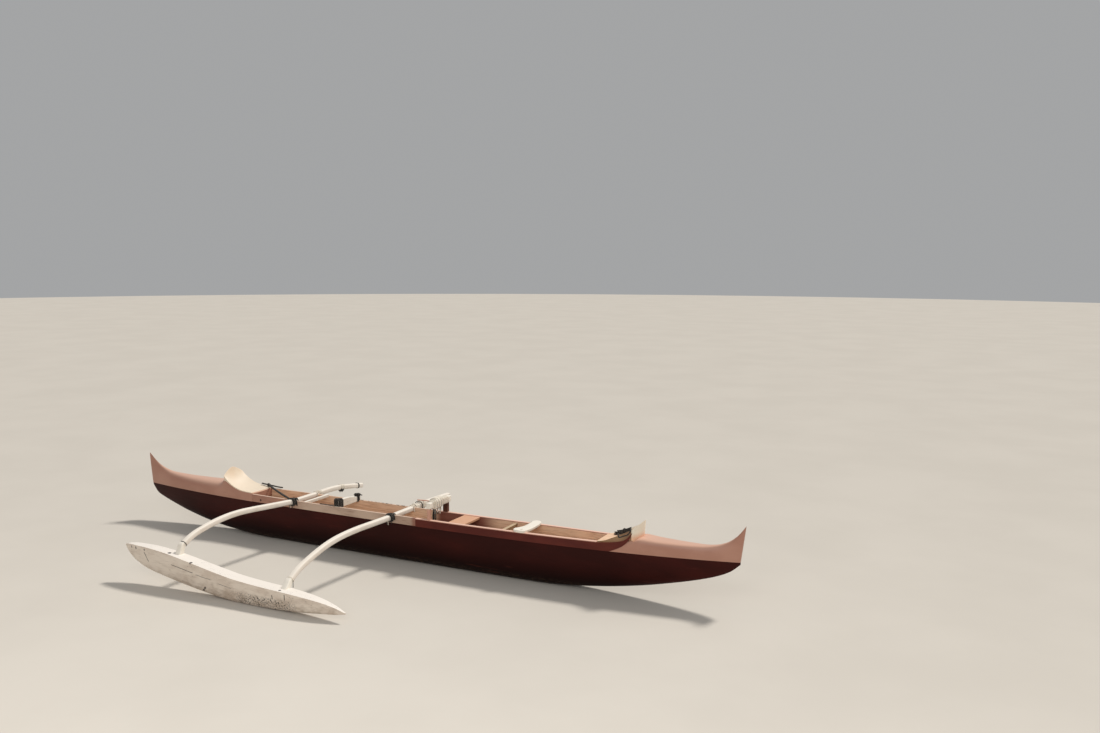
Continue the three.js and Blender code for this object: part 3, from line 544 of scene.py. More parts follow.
def loft(sections, bm=None):
    """Draws a closed skin over rings of points. Returns the bmesh and its rings of vertices."""
    bm = bm or bmesh.new()
    ring = bmesh.ops.create_circle(bm, segments=len(sections[0]), radius=1)["verts"]
    put(ring, sections[0])
    rings = [ring]
    for section in sections[1:]:
        made = bmesh.ops.extrude_edge_only(bm, edges=rim_edges(bm, ring))["geom"]
        new = {v for v in made if isinstance(v, bmesh.types.BMVert)}
        ring = [next(e.other_vert(v) for e in v.link_edges if e.other_vert(v) in new) for v in ring]
        put(ring, section)
        rings.append(ring)
    for end in (rings[0], rings[-1]):
        bmesh.ops.contextual_create(bm, geom=rim_edges(bm, end))
    return bm, rings


def piece(name, bm, coats, solids, slot, rounded=0.0, crease=35):
    """An object from a bmesh, in place of the named solids."""
    bmesh.ops.recalc_face_normals(bm, faces=bm.faces)
    for face in bm.faces:
        face.smooth = True
    for edge in bm.edges:
        edge.smooth = len(edge.link_faces) == 2 and edge.calc_face_angle() < math.radians(crease)
    mesh = bpy.data.meshes.new(name)
    bm.to_mesh(mesh)
    bm.free()
    for coat in coats:
        mesh.materials.append(coat)
    made = bpy.data.objects.new(name, mesh)
    bpy.context.collection.objects.link(made)
    if rounded:
        bevel = made.modifiers.new("rounded_edges", "BEVEL")
        bevel.width = rounded * MM
        bevel.segments = 3
        bevel.limit_method = "ANGLE"
        bevel.angle_limit = math.radians(crease)
        bevel.harden_normals = True
    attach(made, "root")
    if solids:
        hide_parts(*solids)
    print(f"{name}: {len(mesh.polygons)} faces")
    return made


# %% [markdown]
# The hull is one long shell. It could be a solid block with a second shape cut out of it, but cutting
# leaves ragged faces. Here each section carries the points of the hollow as well: outside the hollow they
# lie flat as a lid, and between the two bulkheads they are pressed down to the inner wall. One loft then
# gives the outside, the rim, the bulkheads and the inside.

# %% The hull
WALL, KEEL_FLAT, KEEL_SHARE = 14, 30, 0.35
ROUND_MIDDLE, ROUND_END = 2.3, 1.5               # how full a section is amidships and at the ends
HOLLOW = (-2200, 2620)
HULL_POINTS = 16                                 # from the keel to the rim
STATION, FINE_STATION, FINE_REACH = 90, 28, 560  # between sections, and near the ends


def half_section(x, inset=0):
    """Half a section of the hull, from the keel out to the rim, as y and z."""
    power = 2 / blend(ROUND_MIDDLE, ROUND_END, part_way(x) ** 2)
    beam = half_beam(x) - inset
    low, high = along(KEEL, x) + inset, rim(x)
    flat = min(KEEL_FLAT, beam * KEEL_SHARE)
    return [(flat + (beam - flat) * math.sin(a) ** power, high - (high - low) * max(math.cos(a), 0) ** power)
            for a in steps(0, math.pi / 2, HULL_POINTS)]


def hull_ring(x, pressed):
    outer, inner = half_section(x), half_section(x, WALL)
    if not pressed:
        inner = [(y, rim(x)) for y, z in inner]
    ring = [(x, y, z) for y, z in outer]
    ring += [(x, y, z) for y, z in reversed(inner)]
    ring += [(x, -y, z) for y, z in inner]
    return ring + [(x, -y, z) for y, z in reversed(outer)]


def hull_stations():
    """Places of the sections, and whether each one is pressed down to the inner wall."""
    fore, aft = BOW + FINE_REACH, STERN - FINE_REACH
    places = steps(BOW, fore, FINE_REACH // FINE_STATION) + steps(aft, STERN, FINE_REACH // FINE_STATION)
    places += steps(fore, aft, (aft - fore) // STATION)[1:-1]
    first, last = HOLLOW
    stations = [(x, first + 1 < x < last - 1) for x in places]
    return sorted(stations + [(first, False), (first + 1, True), (last - 1, True), (last, False)])


def make_hull():
    stations = hull_stations()
    bm, rings = loft([hull_ring(x, pressed) for x, pressed in stations])
    inside = set()
    for ring, (x, _) in zip(rings, stations):
        if HOLLOW[0] <= x <= HOLLOW[1]:
            inside.update(ring[HULL_POINTS + 1:-HULL_POINTS - 1])
    for face in bm.faces:
        face.material_index = int(all(v in inside for v in face.verts))
    piece("wooden_hull", bm, [DARK_PAINT, INSIDE_WOOD], ["hull_shell"], "hull", crease=40)


make_hull()

# %% [markdown]
# A splash guard is a scoop of thin wood that turns the water aside. Its upper side is a grid bent over a
# table of rows: each row has a height on the middle line and one at the hull's side, with a curve between.
# The grid is extruded once, and the new layer is moved down into the deck, which gives the scoop its
# thickness and its back.

# %% Lines of the splash guards
GUARDS = {
    "bow": {
        # Number of the row, then x and z on the middle line, and x and z at the side.
        "rows": [
            (0, -1950, 521, -1940, 529), (1, -2060, 523, -2050, 533), (2, -2165, 533, -2140, 547),
            (3, -2245, 556, -2210, 569), (4, -2305, 594, -2268, 598), (5, -2345, 642, -2315, 629),
            (6, -2368, 696, -2348, 656), (7, -2380, 751, -2366, 675),
        ],
        "root": (-2375, 560),
    },
    "stern": {
        "rows": [
            (0, 2340, 536, 2312, 533), (1, 2440, 540, 2386, 549), (2, 2530, 556, 2447, 575),
            (3, 2603, 586, 2533, 615), (4, 2658, 628, 2597, 647), (5, 2698, 676, 2636, 667),
            (6, 2722, 718, 2656, 679), (7, 2738, 753, 2668, 687),
        ],
        "root": (2724, 572),
    },
}
LAST_ROW = 7
BEND_FRONT, BEND_CREST = 2.2, 1.6      # how late a row bends up towards the side
OVERHANG = 2                           # guards and decks stand this far outside the hull
GUARD_THICK, GUARD_BEHIND = 15, 45     # at the cockpit, and how much more at the bow guard's crest
GUARD_LEAN = 0.03                      # the lower edge lies this share further in
AFT_CLIMB = [(2290, 521), (2400, 530), (2500, 546), (2570, 566), (2620, 602), (2655, 646)]
ARM_DEEP = 8                           # the arm reaches this far down behind the aft board
ARM_ENDS, CREST_LOW = (2540, 2630), 572          # where the arm becomes the crest, whose edge is level


def guard_point(end, row, side):
    """A point of a guard's upper side, for a row from 0 to 7 and a side from -1 to 1."""
    rows = GUARDS[end]["rows"]
    mid_x, mid_z, edge_x, edge_z = (along(rows, row, column) for column in (1, 2, 3, 4))
    bend = abs(side) ** blend(BEND_FRONT, BEND_CREST, row / LAST_ROW)
    y = side * (half_beam(edge_x) + OVERHANG)
    return Vector((blend(mid_x, edge_x, bend), y, blend(mid_z, edge_z, bend)))


def guard_depth(end, row, side):
    """How far the lower side lies from the upper one."""
    rise, edge = (row / LAST_ROW) ** 3, abs(side) ** 4
    crest, upper = guard_point(end, LAST_ROW, 0), guard_point(end, row, side)
    root = Vector((GUARDS[end]["root"][0] - crest.x, 0, GUARDS[end]["root"][1] - crest.z))
    middle = Vector((0, 0, -GUARD_THICK)).lerp(root, rise)
    if end == "stern":
        foot = blend(along(AFT_CLIMB, upper.x) - ARM_DEEP, CREST_LOW, eased(upper.x, *ARM_ENDS))
        drop = max(GUARD_THICK, upper.z - foot)
    else:
        drop = GUARD_THICK + GUARD_BEHIND * row / LAST_ROW
    return middle.lerp(Vector((0, -GUARD_LEAN * upper.y, -drop)), edge)


# %% [markdown]
# With the lines in place, the guard itself is short: a grid, bent, extruded and bent again. A copy of the
# upper side is kept as a search tree, because the deck below has to be trimmed to it.


# %% The splash guards
GUARD_GRID = (44, 36)                  # rows from the cockpit to the crest, and from side to side
OLIVE_BAND = 16                        # how far below the aft board's top line the arm is still weathered
BARE_UNTIL, BARE_HALF = 2455, 140      # the worn floor of the aft scoop
UPRIGHT = 0.7                          # a face whose normal points sideways by more than this


def bent_grid(end):
    bm = bmesh.new()
    grid = bmesh.ops.create_grid(bm, x_segments=GUARD_GRID[0], y_segments=GUARD_GRID[1], size=1)["verts"]
    spots = {v: (blend(0, LAST_ROW, (v.co.x + 1) / 2), v.co.y) for v in grid}
    put(spots, [guard_point(end, *spot) for spot in spots.values()])
    return bm, spots


def guard_coat(end, face):
    """The number of the finish of a face: paint, weathered arm or bare floor."""
    x, y, z = face.calc_center_median() / MM
    if end == "bow":
        return 0
    if abs(face.normal.y) > UPRIGHT and x < AFT_CLIMB[-1][0] and z > along(AFT_CLIMB, x) - OLIVE_BAND:
        return 1
    return 2 if x < BARE_UNTIL and abs(y) < BARE_HALF else 0


def make_guard(end):
    bm, spots = bent_grid(end)
    tree = BVHTree.FromBMesh(bm)
    near = {tuple(round(c, 7) for c in v.co): spot for v, spot in spots.items()}
    layer = bmesh.ops.extrude_face_region(bm, geom=list(bm.faces))["geom"]
    for vert in [v for v in layer if isinstance(v, bmesh.types.BMVert)]:
        spot = near[tuple(round(c, 7) for c in vert.co)]
        vert.co += guard_depth(end, *spot) * MM
    bmesh.ops.recalc_face_normals(bm, faces=bm.faces)
    for face in bm.faces:
        face.material_index = guard_coat(end, face)
    coats = [GUARD_PAINT, OLIVE_PAINT, INSIDE_WOOD]
    piece(f"{end}_splash_guard", bm, coats, [f"{end}_guard"], "cream", rounded=4, crease=48)
    return tree


guard_trees = {end: make_guard(end) for end in GUARDS}

# %% [markdown]
# Each end of the canoe is decked with a crowned cover that sweeps up to a sharp tip. Its section changes
# from almost square at the cockpit to nearly round at the tip. Points that follow the section's own angle
# would crowd into its corners, so they are spaced out evenly along it. Where the scoop lies over the deck,
# the points are let down to just below the scoop's upper side.

# %% The decked ends
DECKS = {     # x, height of the crown and how square the section is
    "bow": [
        (-1930, 530, 14), (-2030, 538, 14), (-2130, 550, 14), (-2205, 573, 14), (-2265, 602, 13),
        (-2315, 633, 11), (-2350, 656, 9), (-2385, 640, 6), (-2430, 602, 4), (-2500, 588, 3.2),
        (-2750, 584, 2.8), (-2950, 584, 2.8), (-3150, 589, 2.8), (-3320, 600, 2.6), (-3430, 626, 2.4),
        (-3520, 668, 2.2), (-3590, 728, 2.2), (-3630, 772, 2.2), (BOW, 796, 2.2),
    ],
    "stern": [
        (2300, 536, 14), (2450, 540, 12), (2560, 552, 8), (2650, 578, 6), (2730, 599, 5.5),
        (2800, 596, 5), (2900, 590, 4.8), (3100, 587, 4.4), (3300, 590, 3.7), (3420, 605, 3.1),
        (3510, 639, 2.6), (3580, 698, 2.3), (3620, 757, 2.2), (STERN, 812, 2.2),
    ],
}
LEAN, LEAN_FROM = 0.135, 250           # the tips lean outwards, and how far from the tip this begins
DECK_POINTS, DECK_STATION, FINE_POINTS = 44, 20, 300
UNDER_GUARD, UNDER_EDGE = 9, 4         # how far the deck stays below the scoop, and inside its front edge
RAY_HIGH, RAY_IN = 2000, 0.985         # where the search rays start, and how far in they stay at the sides
SEAM = 0.3                             # a hair's breadth between two pieces


def spaced(points, count):
    """The same line with its points at even distances."""
    lengths = [0]
    for first, second in zip(points, points[1:]):
        lengths.append(lengths[-1] + (second - first).length)
    out, k = [], 0
    for goal in steps(0, lengths[-1], count):
        while k < len(points) - 2 and lengths[k + 1] < goal:
            k += 1
        share = (goal - lengths[k]) / max(lengths[k + 1] - lengths[k], 1e-9)
        out.append(points[k].lerp(points[k + 1], min(share, 1)))
    return out


def deck_ring(end, x):
    rows, outer = DECKS[end], BOW if end == "bow" else STERN
    beam, low, power = half_beam(x) + OVERHANG, rim(x) + SEAM, 2 / along(rows, x, 2)
    tall = along(rows, x) - low
    lean = math.copysign(LEAN, outer) * eased(abs(x), abs(outer) - LEAN_FROM, abs(outer))
    line = []
    for angle in steps(0, math.pi, FINE_POINTS):
        side, up = math.cos(angle), abs(math.sin(angle))
        line.append(Vector((0, -beam * math.copysign(abs(side) ** power, side), tall * up ** power)))
    return [Vector((x + lean * p.z, p.y, low + p.z)) for p in spaced(line, DECK_POINTS)]


def trimmed(end, points):
    """Lets the points under a guard down to just below its upper side."""
    front, crest = guard_point(end, 0, 0).x, guard_point(end, LAST_ROW, 0).x
    inwards = math.copysign(1, front - crest)
    out = []
    for p in points:
        x = min(p.x * inwards, front * inwards - UNDER_EDGE) * inwards
        over = Vector((x, p.y * RAY_IN, RAY_HIGH)) * MM
        hit = guard_trees[end].ray_cast(over, Vector((0, 0, -1)))[0]
        out.append(Vector((p.x, p.y, min(p.z, hit.z / MM - UNDER_GUARD))) if hit else p)
    return out


BARE_FRONT = GUARDS["stern"]["rows"][0][1] + 20  # the front of the stern deck is bare up to here
for end, rows in DECKS.items():
    first, last = rows[0][0], rows[-1][0]
    count = int(abs(last - first) / DECK_STATION)
    bm, _ = loft([trimmed(end, deck_ring(end, x)) for x in steps(first, last, count)])
    for face in bm.faces:
        face.material_index = int(0 < face.calc_center_median().x / MM < BARE_FRONT)
    piece(f"{end}_deck", bm, [PINK_PAINT, INSIDE_WOOD], [f"{end}_end"], "ends", crease=50)

# %% [markdown]
# Above the rim the hull is built up with boards. A board is a simple bar that follows the hull's side, so
# its section needs only four corners, and a Bevel modifier rounds them as sandpaper would. The aft boards
# climb under the arms of the stern guard, run out in a slanted edge, and carry a pale cap rail.

# %% The boards and their cap rails
STRAKE, BOARD_THICK = 86, 20                   # height and thickness of the boards
FORE_OUT, AFT_OUT = 2, 9                       # how far they stand outside the hull
FORE_START, BOARDS_MEET = GUARDS["bow"]["rows"][0][1] + 20.3, 290
AFT_FOOT, AFT_TIP = 2430, 2655                 # the slanted end of the aft boards
CAP_HIGH, CAP_LAP, CAP_END = 9, 3, 2308
SIDES = {"port": -1, "starboard": 1}


def bar_ring(x, side, inn, out, low, high):
    beam = half_beam(x)
    return [(x, side * (beam - inn), low), (x, side * (beam + out), low),
            (x, side * (beam + out), high), (x, side * (beam - inn), high)]


def fore_ring(x, side):
    return bar_ring(x, side, BOARD_THICK, FORE_OUT, rim(x) + SEAM, rim(x) + STRAKE)


def aft_ring(x, side):
    high = rim(x) + STRAKE - CAP_HIGH if x < AFT_CLIMB[0][0] else along(AFT_CLIMB, x)
    rise = max((x - AFT_FOOT) / (AFT_TIP - AFT_FOOT), 0)
    low = blend(rim(x) + SEAM, high - ARM_DEEP, rise)
    return bar_ring(x, side, BOARD_THICK, AFT_OUT, low, high)


def cap_ring(x, side):
    low = rim(x) + STRAKE - CAP_HIGH + SEAM
    return bar_ring(x, side, BOARD_THICK + CAP_LAP, AFT_OUT + CAP_LAP, low, low + CAP_HIGH)


def inner_faces(bm, side):
    """Gives the faces that look at the middle of the hull the second finish."""
    bmesh.ops.recalc_face_normals(bm, faces=bm.faces)
    for face in bm.faces:
        face.material_index = int(face.normal.y * side < -UPRIGHT)


AFT_PLACES = steps(BOARDS_MEET + SEAM, AFT_FOOT, 40) + steps(AFT_FOOT, AFT_TIP, 20)[1:]
BOARDS = [    # piece, solid, ring, places, finishes, slot and rounding
    ("fore_wash_board", "fore_board", fore_ring, steps(FORE_START, BOARDS_MEET, 44),
     [BOARD_PAINT, INSIDE_WOOD], "strake", 4.5),
    ("aft_wash_board", "aft_board", aft_ring, AFT_PLACES, [RED_PAINT, INSIDE_WOOD], "redwood", 2.5),
    ("cap_moulding", "cap_rail", cap_ring, steps(BOARDS_MEET + SEAM, CAP_END, 40), [CAP_PAINT], "cap", 3.5),
]
for name, side in SIDES.items():
    for board, solid, ring, places, coats, slot, rounded in BOARDS:
        bm, _ = loft([ring(x, side) for x in places])
        if len(coats) > 1:
            inner_faces(bm, side)
        piece(f"{board}_{name}", bm, coats, [f"{solid}_{name}"], slot, rounded)

# %% [markdown]
# The float is a long log with a flat top and a round belly, pointed at both ends. It is another loft. The
# edge between the top and the sides is crisp, with only a small rounding.

# %% The float
FLOAT_Y = -1800
FLOAT = [     # x, top, bottom and half width
    (-2046, 353, 336, 7), (-2000, 366, 282, 20), (-1910, 373, 220, 37), (-1735, 372, 152, 52),
    (-1480, 355, 104, 61), (-1220, 321, 64, 66), (-1010, 288, 36, 68), (-800, 256, 13, 70),
    (-600, 229, 0, 70), (-270, 206, 0, 70), (0, 194, 12, 68), (220, 178, 28, 58),
    (380, 159, 44, 43), (520, 131, 58, 25), (642, 90, 78, 6),
]
FLOAT_FLAT, FLOAT_ROUND = 0.25, 2.6    # share of the belly that is flat, and how full the sides are


def float_ring(x):
    top, bottom, half = (along(FLOAT, x, column) for column in (1, 2, 3))
    flat, power = half * FLOAT_FLAT, 2 / FLOAT_ROUND
    side = [(flat + (half - flat) * math.sin(a) ** power, top - (top - bottom) * max(math.cos(a), 0) ** power)
            for a in steps(0, math.pi / 2, 14)]
    crown = [(half * share, top) for share in (0.5, 0, -0.5)]
    outline = side + crown + [(-y, z) for y, z in reversed(side)]
    return [(x, FLOAT_Y + y, z) for y, z in outline]


bm, _ = loft([float_ring(x) for x in steps(FLOAT[0][0], FLOAT[-1][0], 110)])
piece("float_log", bm, [FLOAT_PAINT], ["float"], "white", rounded=5, crease=50)

# %% [markdown]
# The two booms are bent poles with a rounded square section. A path through the table's points is smoothed
# first, and each section is set square to it. The short posts at their ends lean out and stand on the
# float.

# %% The booms and their posts
BOOM_WIDE, BOOM_HIGH, BOOM_CORNER = 56, 54, 15
BOOM_SKEW = 0.03                       # the booms run this much aft for each step to starboard
PEG_WIDE, PEG_CORNER = 64, 12          # a post at its foot
PEG_IN, PEG_DEEP = 20, 24              # how far its foot stands in from the float's middle, and in its top
PEG_NECK = 22                          # how far it goes on in the boom's own direction
BOOMS = {     # x where each crosses the middle of the hull, and y and z of its centreline
    "fore": (-1304, [
        (-1722, 422), (-1610, 478), (-1460, 517), (-1305, 545), (-1145, 561), (-980, 564), (-810, 554),
        (-640, 540), (-460, 525), (-280, 511), (-190, 504), (190, 506), (380, 514), (560, 506), (750, 481),
        (975, 449),
    ]),
    "aft": (-4, [
        (-1702, 259), (-1600, 322), (-1435, 385), (-1265, 436), (-1095, 470), (-915, 487), (-735, 493),
        (-545, 492), (-350, 490), (-190, 490), (190, 496), (420, 504), (640, 503), (860, 497),
    ]),
}


def smooth_path(points, per_span=8):
    """A smooth line through the points, with short steps where they lie close together."""
    p = [Vector(q) for q in points]
    p = [2 * p[0] - p[1], *p, 2 * p[-1] - p[-2]]
    out = []
    for i in range(1, len(p) - 2):
        t = [0]
        for k in (0, 1, 2):
            t.append(t[-1] + max((p[i + k] - p[i + k - 1]).length, 1e-6) ** 0.5)
        for at in steps(t[1], t[2], per_span)[:-1]:
            level = [p[i + k - 1].lerp(p[i + k], (at - t[k]) / (t[k + 1] - t[k])) for k in (0, 1, 2)]
            level = [level[k].lerp(level[k + 1], (at - t[k]) / (t[k + 2] - t[k])) for k in (0, 1)]
            out.append(level[0].lerp(level[1], (at - t[1]) / (t[2] - t[1])))
    return out + [p[-2]]


def rounded_bar(wide, high, corner, per_corner=4):
    """The outline of a bar with rounded corners, as pairs."""
    out = []
    for quarter, (u, v) in enumerate([(1, 1), (-1, 1), (-1, -1), (1, -1)]):
        for a in steps(0, math.pi / 2, per_corner):
            turn = a + quarter * math.pi / 2
            out.append((u * (wide / 2 - corner) + corner * math.cos(turn),
                        v * (high / 2 - corner) + corner * math.sin(turn)))
    return out


def square_to(way):
    """Two directions square to a pole that crosses the hull: one along the hull, and one upwards."""
    fore_aft = (Vector((1, 0, 0)) - way * way.x).normalized()
    return fore_aft, fore_aft.cross(way)


def ring_at(centre, way, outline):
    fore_aft, up = square_to(way)
    return [centre + fore_aft * u + up * v for u, v in outline]


def way_at(path, i):
    return (path[min(i + 1, len(path) - 1)] - path[max(i - 1, 0)]).normalized()


def make_boom(name, path):
    outline = rounded_bar(BOOM_WIDE, BOOM_HIGH, BOOM_CORNER)
    bm, _ = loft([ring_at(p, way_at(path, i), outline) for i, p in enumerate(path)])
    piece(f"{name}_boom_pole", bm, [CREAM_PAINT], [f"boom_{name}"], "cream", rounded=5, crease=60)


def make_peg(name, path):
    """The post under a boom's end. It leans out and widens towards its foot, which is let into the float."""
    foot_x = BOOMS[name][0] + BOOM_SKEW * FLOAT_Y
    foot = Vector((foot_x, FLOAT_Y + PEG_IN, along(FLOAT, foot_x) - PEG_DEEP))
    neck = path[0] - way_at(path, 0) * PEG_NECK
    bends = smooth_path([path[0], neck, neck.lerp(foot, 0.5), foot], 6)
    widths = steps(BOOM_HIGH, PEG_WIDE, len(bends) - 1)
    bm, _ = loft([ring_at(p, -way_at(bends, i), rounded_bar(w, w, PEG_CORNER))
                  for i, (p, w) in enumerate(zip(bends, widths))])
    piece(f"{name}_float_peg", bm, [PLANK_PAINT], [f"float_post_{name}"], "white", rounded=3, crease=60)


boom_paths = {}
for name, (x, rows) in BOOMS.items():
    boom_paths[name] = smooth_path([(x + BOOM_SKEW * y, y, z) for y, z in rows])
    make_boom(name, boom_paths[name])
    make_peg(name, boom_paths[name])

# %% [markdown]
# Thwarts and seats are short planks across the hull. A cube is sized to each plank and its ends are moved
# in until they meet the boards or the curved inner wall. Only the edges are eased. The spreader bar was
# wedged in askew, with its far end aft and higher.

# %% Thwarts and seats
BETWEEN_BOARDS = [   # piece, solid, x range, z range, finish and slot
    ("spreader_bar", "fore_spreader", (-1178, -1146), (486, 517), PLANK_PAINT, "cream"),
    ("seat_plank", "middle_seat", (660, 850), (484, 508), SEAT_PAINT, "seat"),
    ("aft_cross_bar", "aft_thwart", (1255, 1292), (468, 498), OLIVE_PAINT, "seat"),
]
IN_THE_HULL = [
    ("bow_seat_plank", "bow_seat", (-1700, -1500), (350, 374), SEAT_PAINT, "seat"),
    ("stern_seat_plank", "stern_seat", (2010, 2200), (376, 400), SEAT_PAINT, "seat"),
]
ASKEW = Vector((0.22, 0, 0.08))


def block(x, y, z):
    """A block from ranges in millimetres, with its edges divided once."""
    bm = bmesh.new()
    verts = bmesh.ops.create_cube(bm, size=1)["verts"]
    bmesh.ops.scale(bm, verts=verts, vec=Vector((x[1] - x[0], y[1] - y[0], z[1] - z[0])) * MM)
    bmesh.ops.translate(bm, verts=verts, vec=Vector((sum(x), sum(y), sum(z))) / 2 * MM)
    bmesh.ops.subdivide_edges(bm, edges=bm.edges, cuts=1, use_grid_fill=True)
    return bm


def between_boards(x, _):
    """Half the gap between the boards."""
    return half_beam(x) - BOARD_THICK


def inner_half(x, z):
    """Half the width of the hollow at a place and height."""
    line = half_section(x, WALL)
    for (y1, z1), (y2, z2) in zip(line, line[1:]):
        if z1 <= z <= z2:
            return blend(y1, y2, (z - z1) / (z2 - z1))
    return line[-1][0]


def plank(x, z, half):
    """A block across the hull, with its ends moved to where half says."""
    bm = block(x, (-1, 1), z)
    for vert in bm.verts:
        vert.co.y = round(vert.co.y / MM) * (half(vert.co.x / MM, vert.co.z / MM) - SEAM) * MM
    return bm


for name, solid, x, z, coat, slot in BETWEEN_BOARDS:
    bm = plank(x, z, between_boards)
    if name == "spreader_bar":
        for vert in bm.verts:
            vert.co += ASKEW * vert.co.y
    piece(name, bm, [coat], [solid], slot, rounded=3.5)
for name, solid, x, z, coat, slot in IN_THE_HULL:
    piece(name, plank(x, z, inner_half), [coat], [solid], slot, rounded=3)

# %% [markdown]
# Two beams carry cord. The low one is a white block between the booms, whose top falls away to the far
# side. The raised one lies on two posts that stand on the rails. All of them are plain blocks with eased
# edges.

# %% The two crossbeams
RAIL_TOP, POST_TOP = rim(454) + STRAKE, 627.7
BEAM_FALL = {-188: 0, 6: 6, 200: 40}   # how far the top of the low beam has fallen, by y
BLOCKS = [    # piece, solid, ranges of x, y and z, finish, slot and rounding
    ("cross_beam_fore", "fore_crossbeam", (-745, -700), (-188, 200), (500, 583), PLANK_PAINT, "cream", 6),
    ("raised_cross_beam", "raised_crossbeam", (430, 478), (-206, 206), (628, 690), PLANK_PAINT, "white", 9),
    ("beam_post_near", "raised_post_port", (438, 470), (-199, -167), (RAIL_TOP, POST_TOP), CAP_PAINT,
     "cap", 5),
    ("beam_post_far", "raised_post_starboard", (398, 454), (161, 201), (RAIL_TOP, POST_TOP), BARE_WOOD,
     "brown", 5),
]
for name, solid, x, y, z, coat, slot, rounded in BLOCKS:
    bm = block(x, y, z)
    if name == "cross_beam_fore":
        for vert in [v for v in bm.verts if v.co.z > (z[1] - 3) * MM]:
            vert.co.z -= BEAM_FALL[round(vert.co.y / MM)] * MM
    piece(name, bm, [coat], [solid], slot, rounded)

# %% [markdown]
# One thwart lies on top of the rails. It is a plank with round ends, a waist on its fore side, and a hole
# for a line near its port end. Two loops are enough: the outline, and the hole, whose points lie in the
# same directions as those of the outline, so that the strip between them has no crossed faces. Then the
# strip is extruded.

# %% The thwart on the rails
PLANK_X, PLANK_THICK = 1500, 24
PLANK = [     # y, and how far its two sides lie from PLANK_X
    (-206, -20, 20), (-198, -52, 46), (-176, -72, 62), (-145, -74, 70), (-110, -56, 76), (-60, -34, 80),
    (0, -26, 80), (60, -28, 78), (120, -34, 72), (160, -36, 62), (190, -26, 44), (206, -8, 20),
]
HOLE_MIDDLE, HOLE_HALF = Vector((PLANK_X + 6, -158, 0)), 12


def plank_outline():
    places = steps(PLANK[0][0], PLANK[-1][0], 44)
    fore = [Vector((PLANK_X + along(PLANK, y, 1), y, 0)) for y in places]
    return fore + [Vector((PLANK_X + along(PLANK, y, 2), y, 0)) for y in reversed(places)]


def make_rail_thwart():
    bm = bmesh.new()
    outline = plank_outline()
    outer = bmesh.ops.create_circle(bm, segments=len(outline), radius=1)["verts"]
    put(outer, outline)
    hole = bmesh.ops.create_circle(bm, segments=len(outline), radius=1)["verts"]
    put(hole, [HOLE_MIDDLE + (p - HOLE_MIDDLE).normalized() * HOLE_HALF for p in outline])
    strip = bmesh.ops.bridge_loops(bm, edges=rim_edges(bm, outer) + rim_edges(bm, hole))["faces"]
    made = bmesh.ops.extrude_face_region(bm, geom=strip)["geom"]
    upper = [v for v in made if isinstance(v, bmesh.types.BMVert)]
    bmesh.ops.translate(bm, verts=upper, vec=(0, 0, PLANK_THICK * MM))
    bmesh.ops.translate(bm, verts=bm.verts, vec=(0, 0, (rim(PLANK_X) + STRAKE) * MM))
    piece("rail_top_thwart", bm, [PLANK_PAINT], ["rail_thwart"], "white", rounded=4)


make_rail_thwart()

# %% [markdown]
# Nothing on this canoe is bolted: the booms are tied down with cord. A cord is a thin loft along a path.
# Its sections are carried along with the least turning, so it doesn't twist by itself. A rope has three
# strands that run round each other, each a cord on a spiral of its own.


# %% Cords and ropes
CORD_SIDES, STRANDS = 8, 3
STRAND_AT, STRAND_HALF = 0.5, 0.52     # by the rope's radius: where a strand runs, and half its thickness


def frames(path):
    """A direction across the path and one square to both, carried along without twist."""
    across = way_at(path, 0).orthogonal().normalized()
    for i in range(len(path)):
        way = way_at(path, i)
        across = (across - way * across.dot(way)).normalized()
        yield across, way.cross(across)


def cord_into(bm, path, radius, sides=CORD_SIDES, coat=0):
    before = len(bm.faces)
    circle = [(radius * math.cos(a), radius * math.sin(a)) for a in steps(0, 2 * math.pi, sides)[:-1]]
    loft([[p + across * u + up * v for u, v in circle] for p, (across, up) in zip(path, frames(path))], bm)
    for face in list(bm.faces)[before:]:
        face.material_index = coat


def rope_into(bm, path, radius, lay, coat=0):
    """A rope of strands laid around each other, with one full turn in each lay."""
    runs = [0]
    for first, second in zip(path, path[1:]):
        runs.append(runs[-1] + (second - first).length)
    turned = list(frames(path))
    for strand in range(STRANDS):
        line = []
        for p, run, (across, up) in zip(path, runs, turned):
            turn = 2 * math.pi * (run / lay + strand / STRANDS)
            line.append(p + (across * math.cos(turn) + up * math.sin(turn)) * radius * STRAND_AT)
        cord_into(bm, line, radius * STRAND_HALF, coat=coat)


# %% [markdown]
# A lashing is one long spiral around a pole. The spiral follows the pole's own section, a rectangle with
# round corners, and so it lies close on all four sides. A second and a third layer cross the one below at a
# slant and are shorter. At the boards, turns also run through a hole, over the boom and back down on its
# other side.

# %% Spirals and ties
PRESSED = 0.92                         # cords sink a little into each other
SHORTER = 0.2                          # each layer is shorter than the first by this share
SLANTS = (0, 0.22, -0.22)              # how the turns of the layers lean
TIED_AT = 190                          # how far from the middle of the hull the booms are tied
TIE_HOLE, TIE_BESIDE = 462, 500        # heights of the lashing holes, and of the cord beside the boom


def winding(centre, way, outline, length, turns, slant=0.0):
    """A spiral around a pole. The outline is the pole's section, grown by half the cord."""
    fore_aft, up = square_to(way)
    path = []
    count = turns * len(outline)
    for i in range(count + 1):
        u, v = outline[i % len(outline)]
        place = -length / 2 + length * i / count + slant * u
        path.append(centre + way * place + fore_aft * u + up * v)
    return path


def wound(bm, centre, way, section, corner, length, cord, layers, coat=0):
    """Layers of close turns, each shorter than the one below and crossing it."""
    for k in range(layers):
        grown = (2 * k + 1) * cord * PRESSED
        outline = rounded_bar(section[0] + grown, section[1] + grown, corner + grown / 2)
        run = (length - cord) * (1 - SHORTER * k)
        turns = max(2, round(run / cord))
        cord_into(bm, winding(centre, way, outline, run, turns, SLANTS[k]), cord / 2, coat=coat)


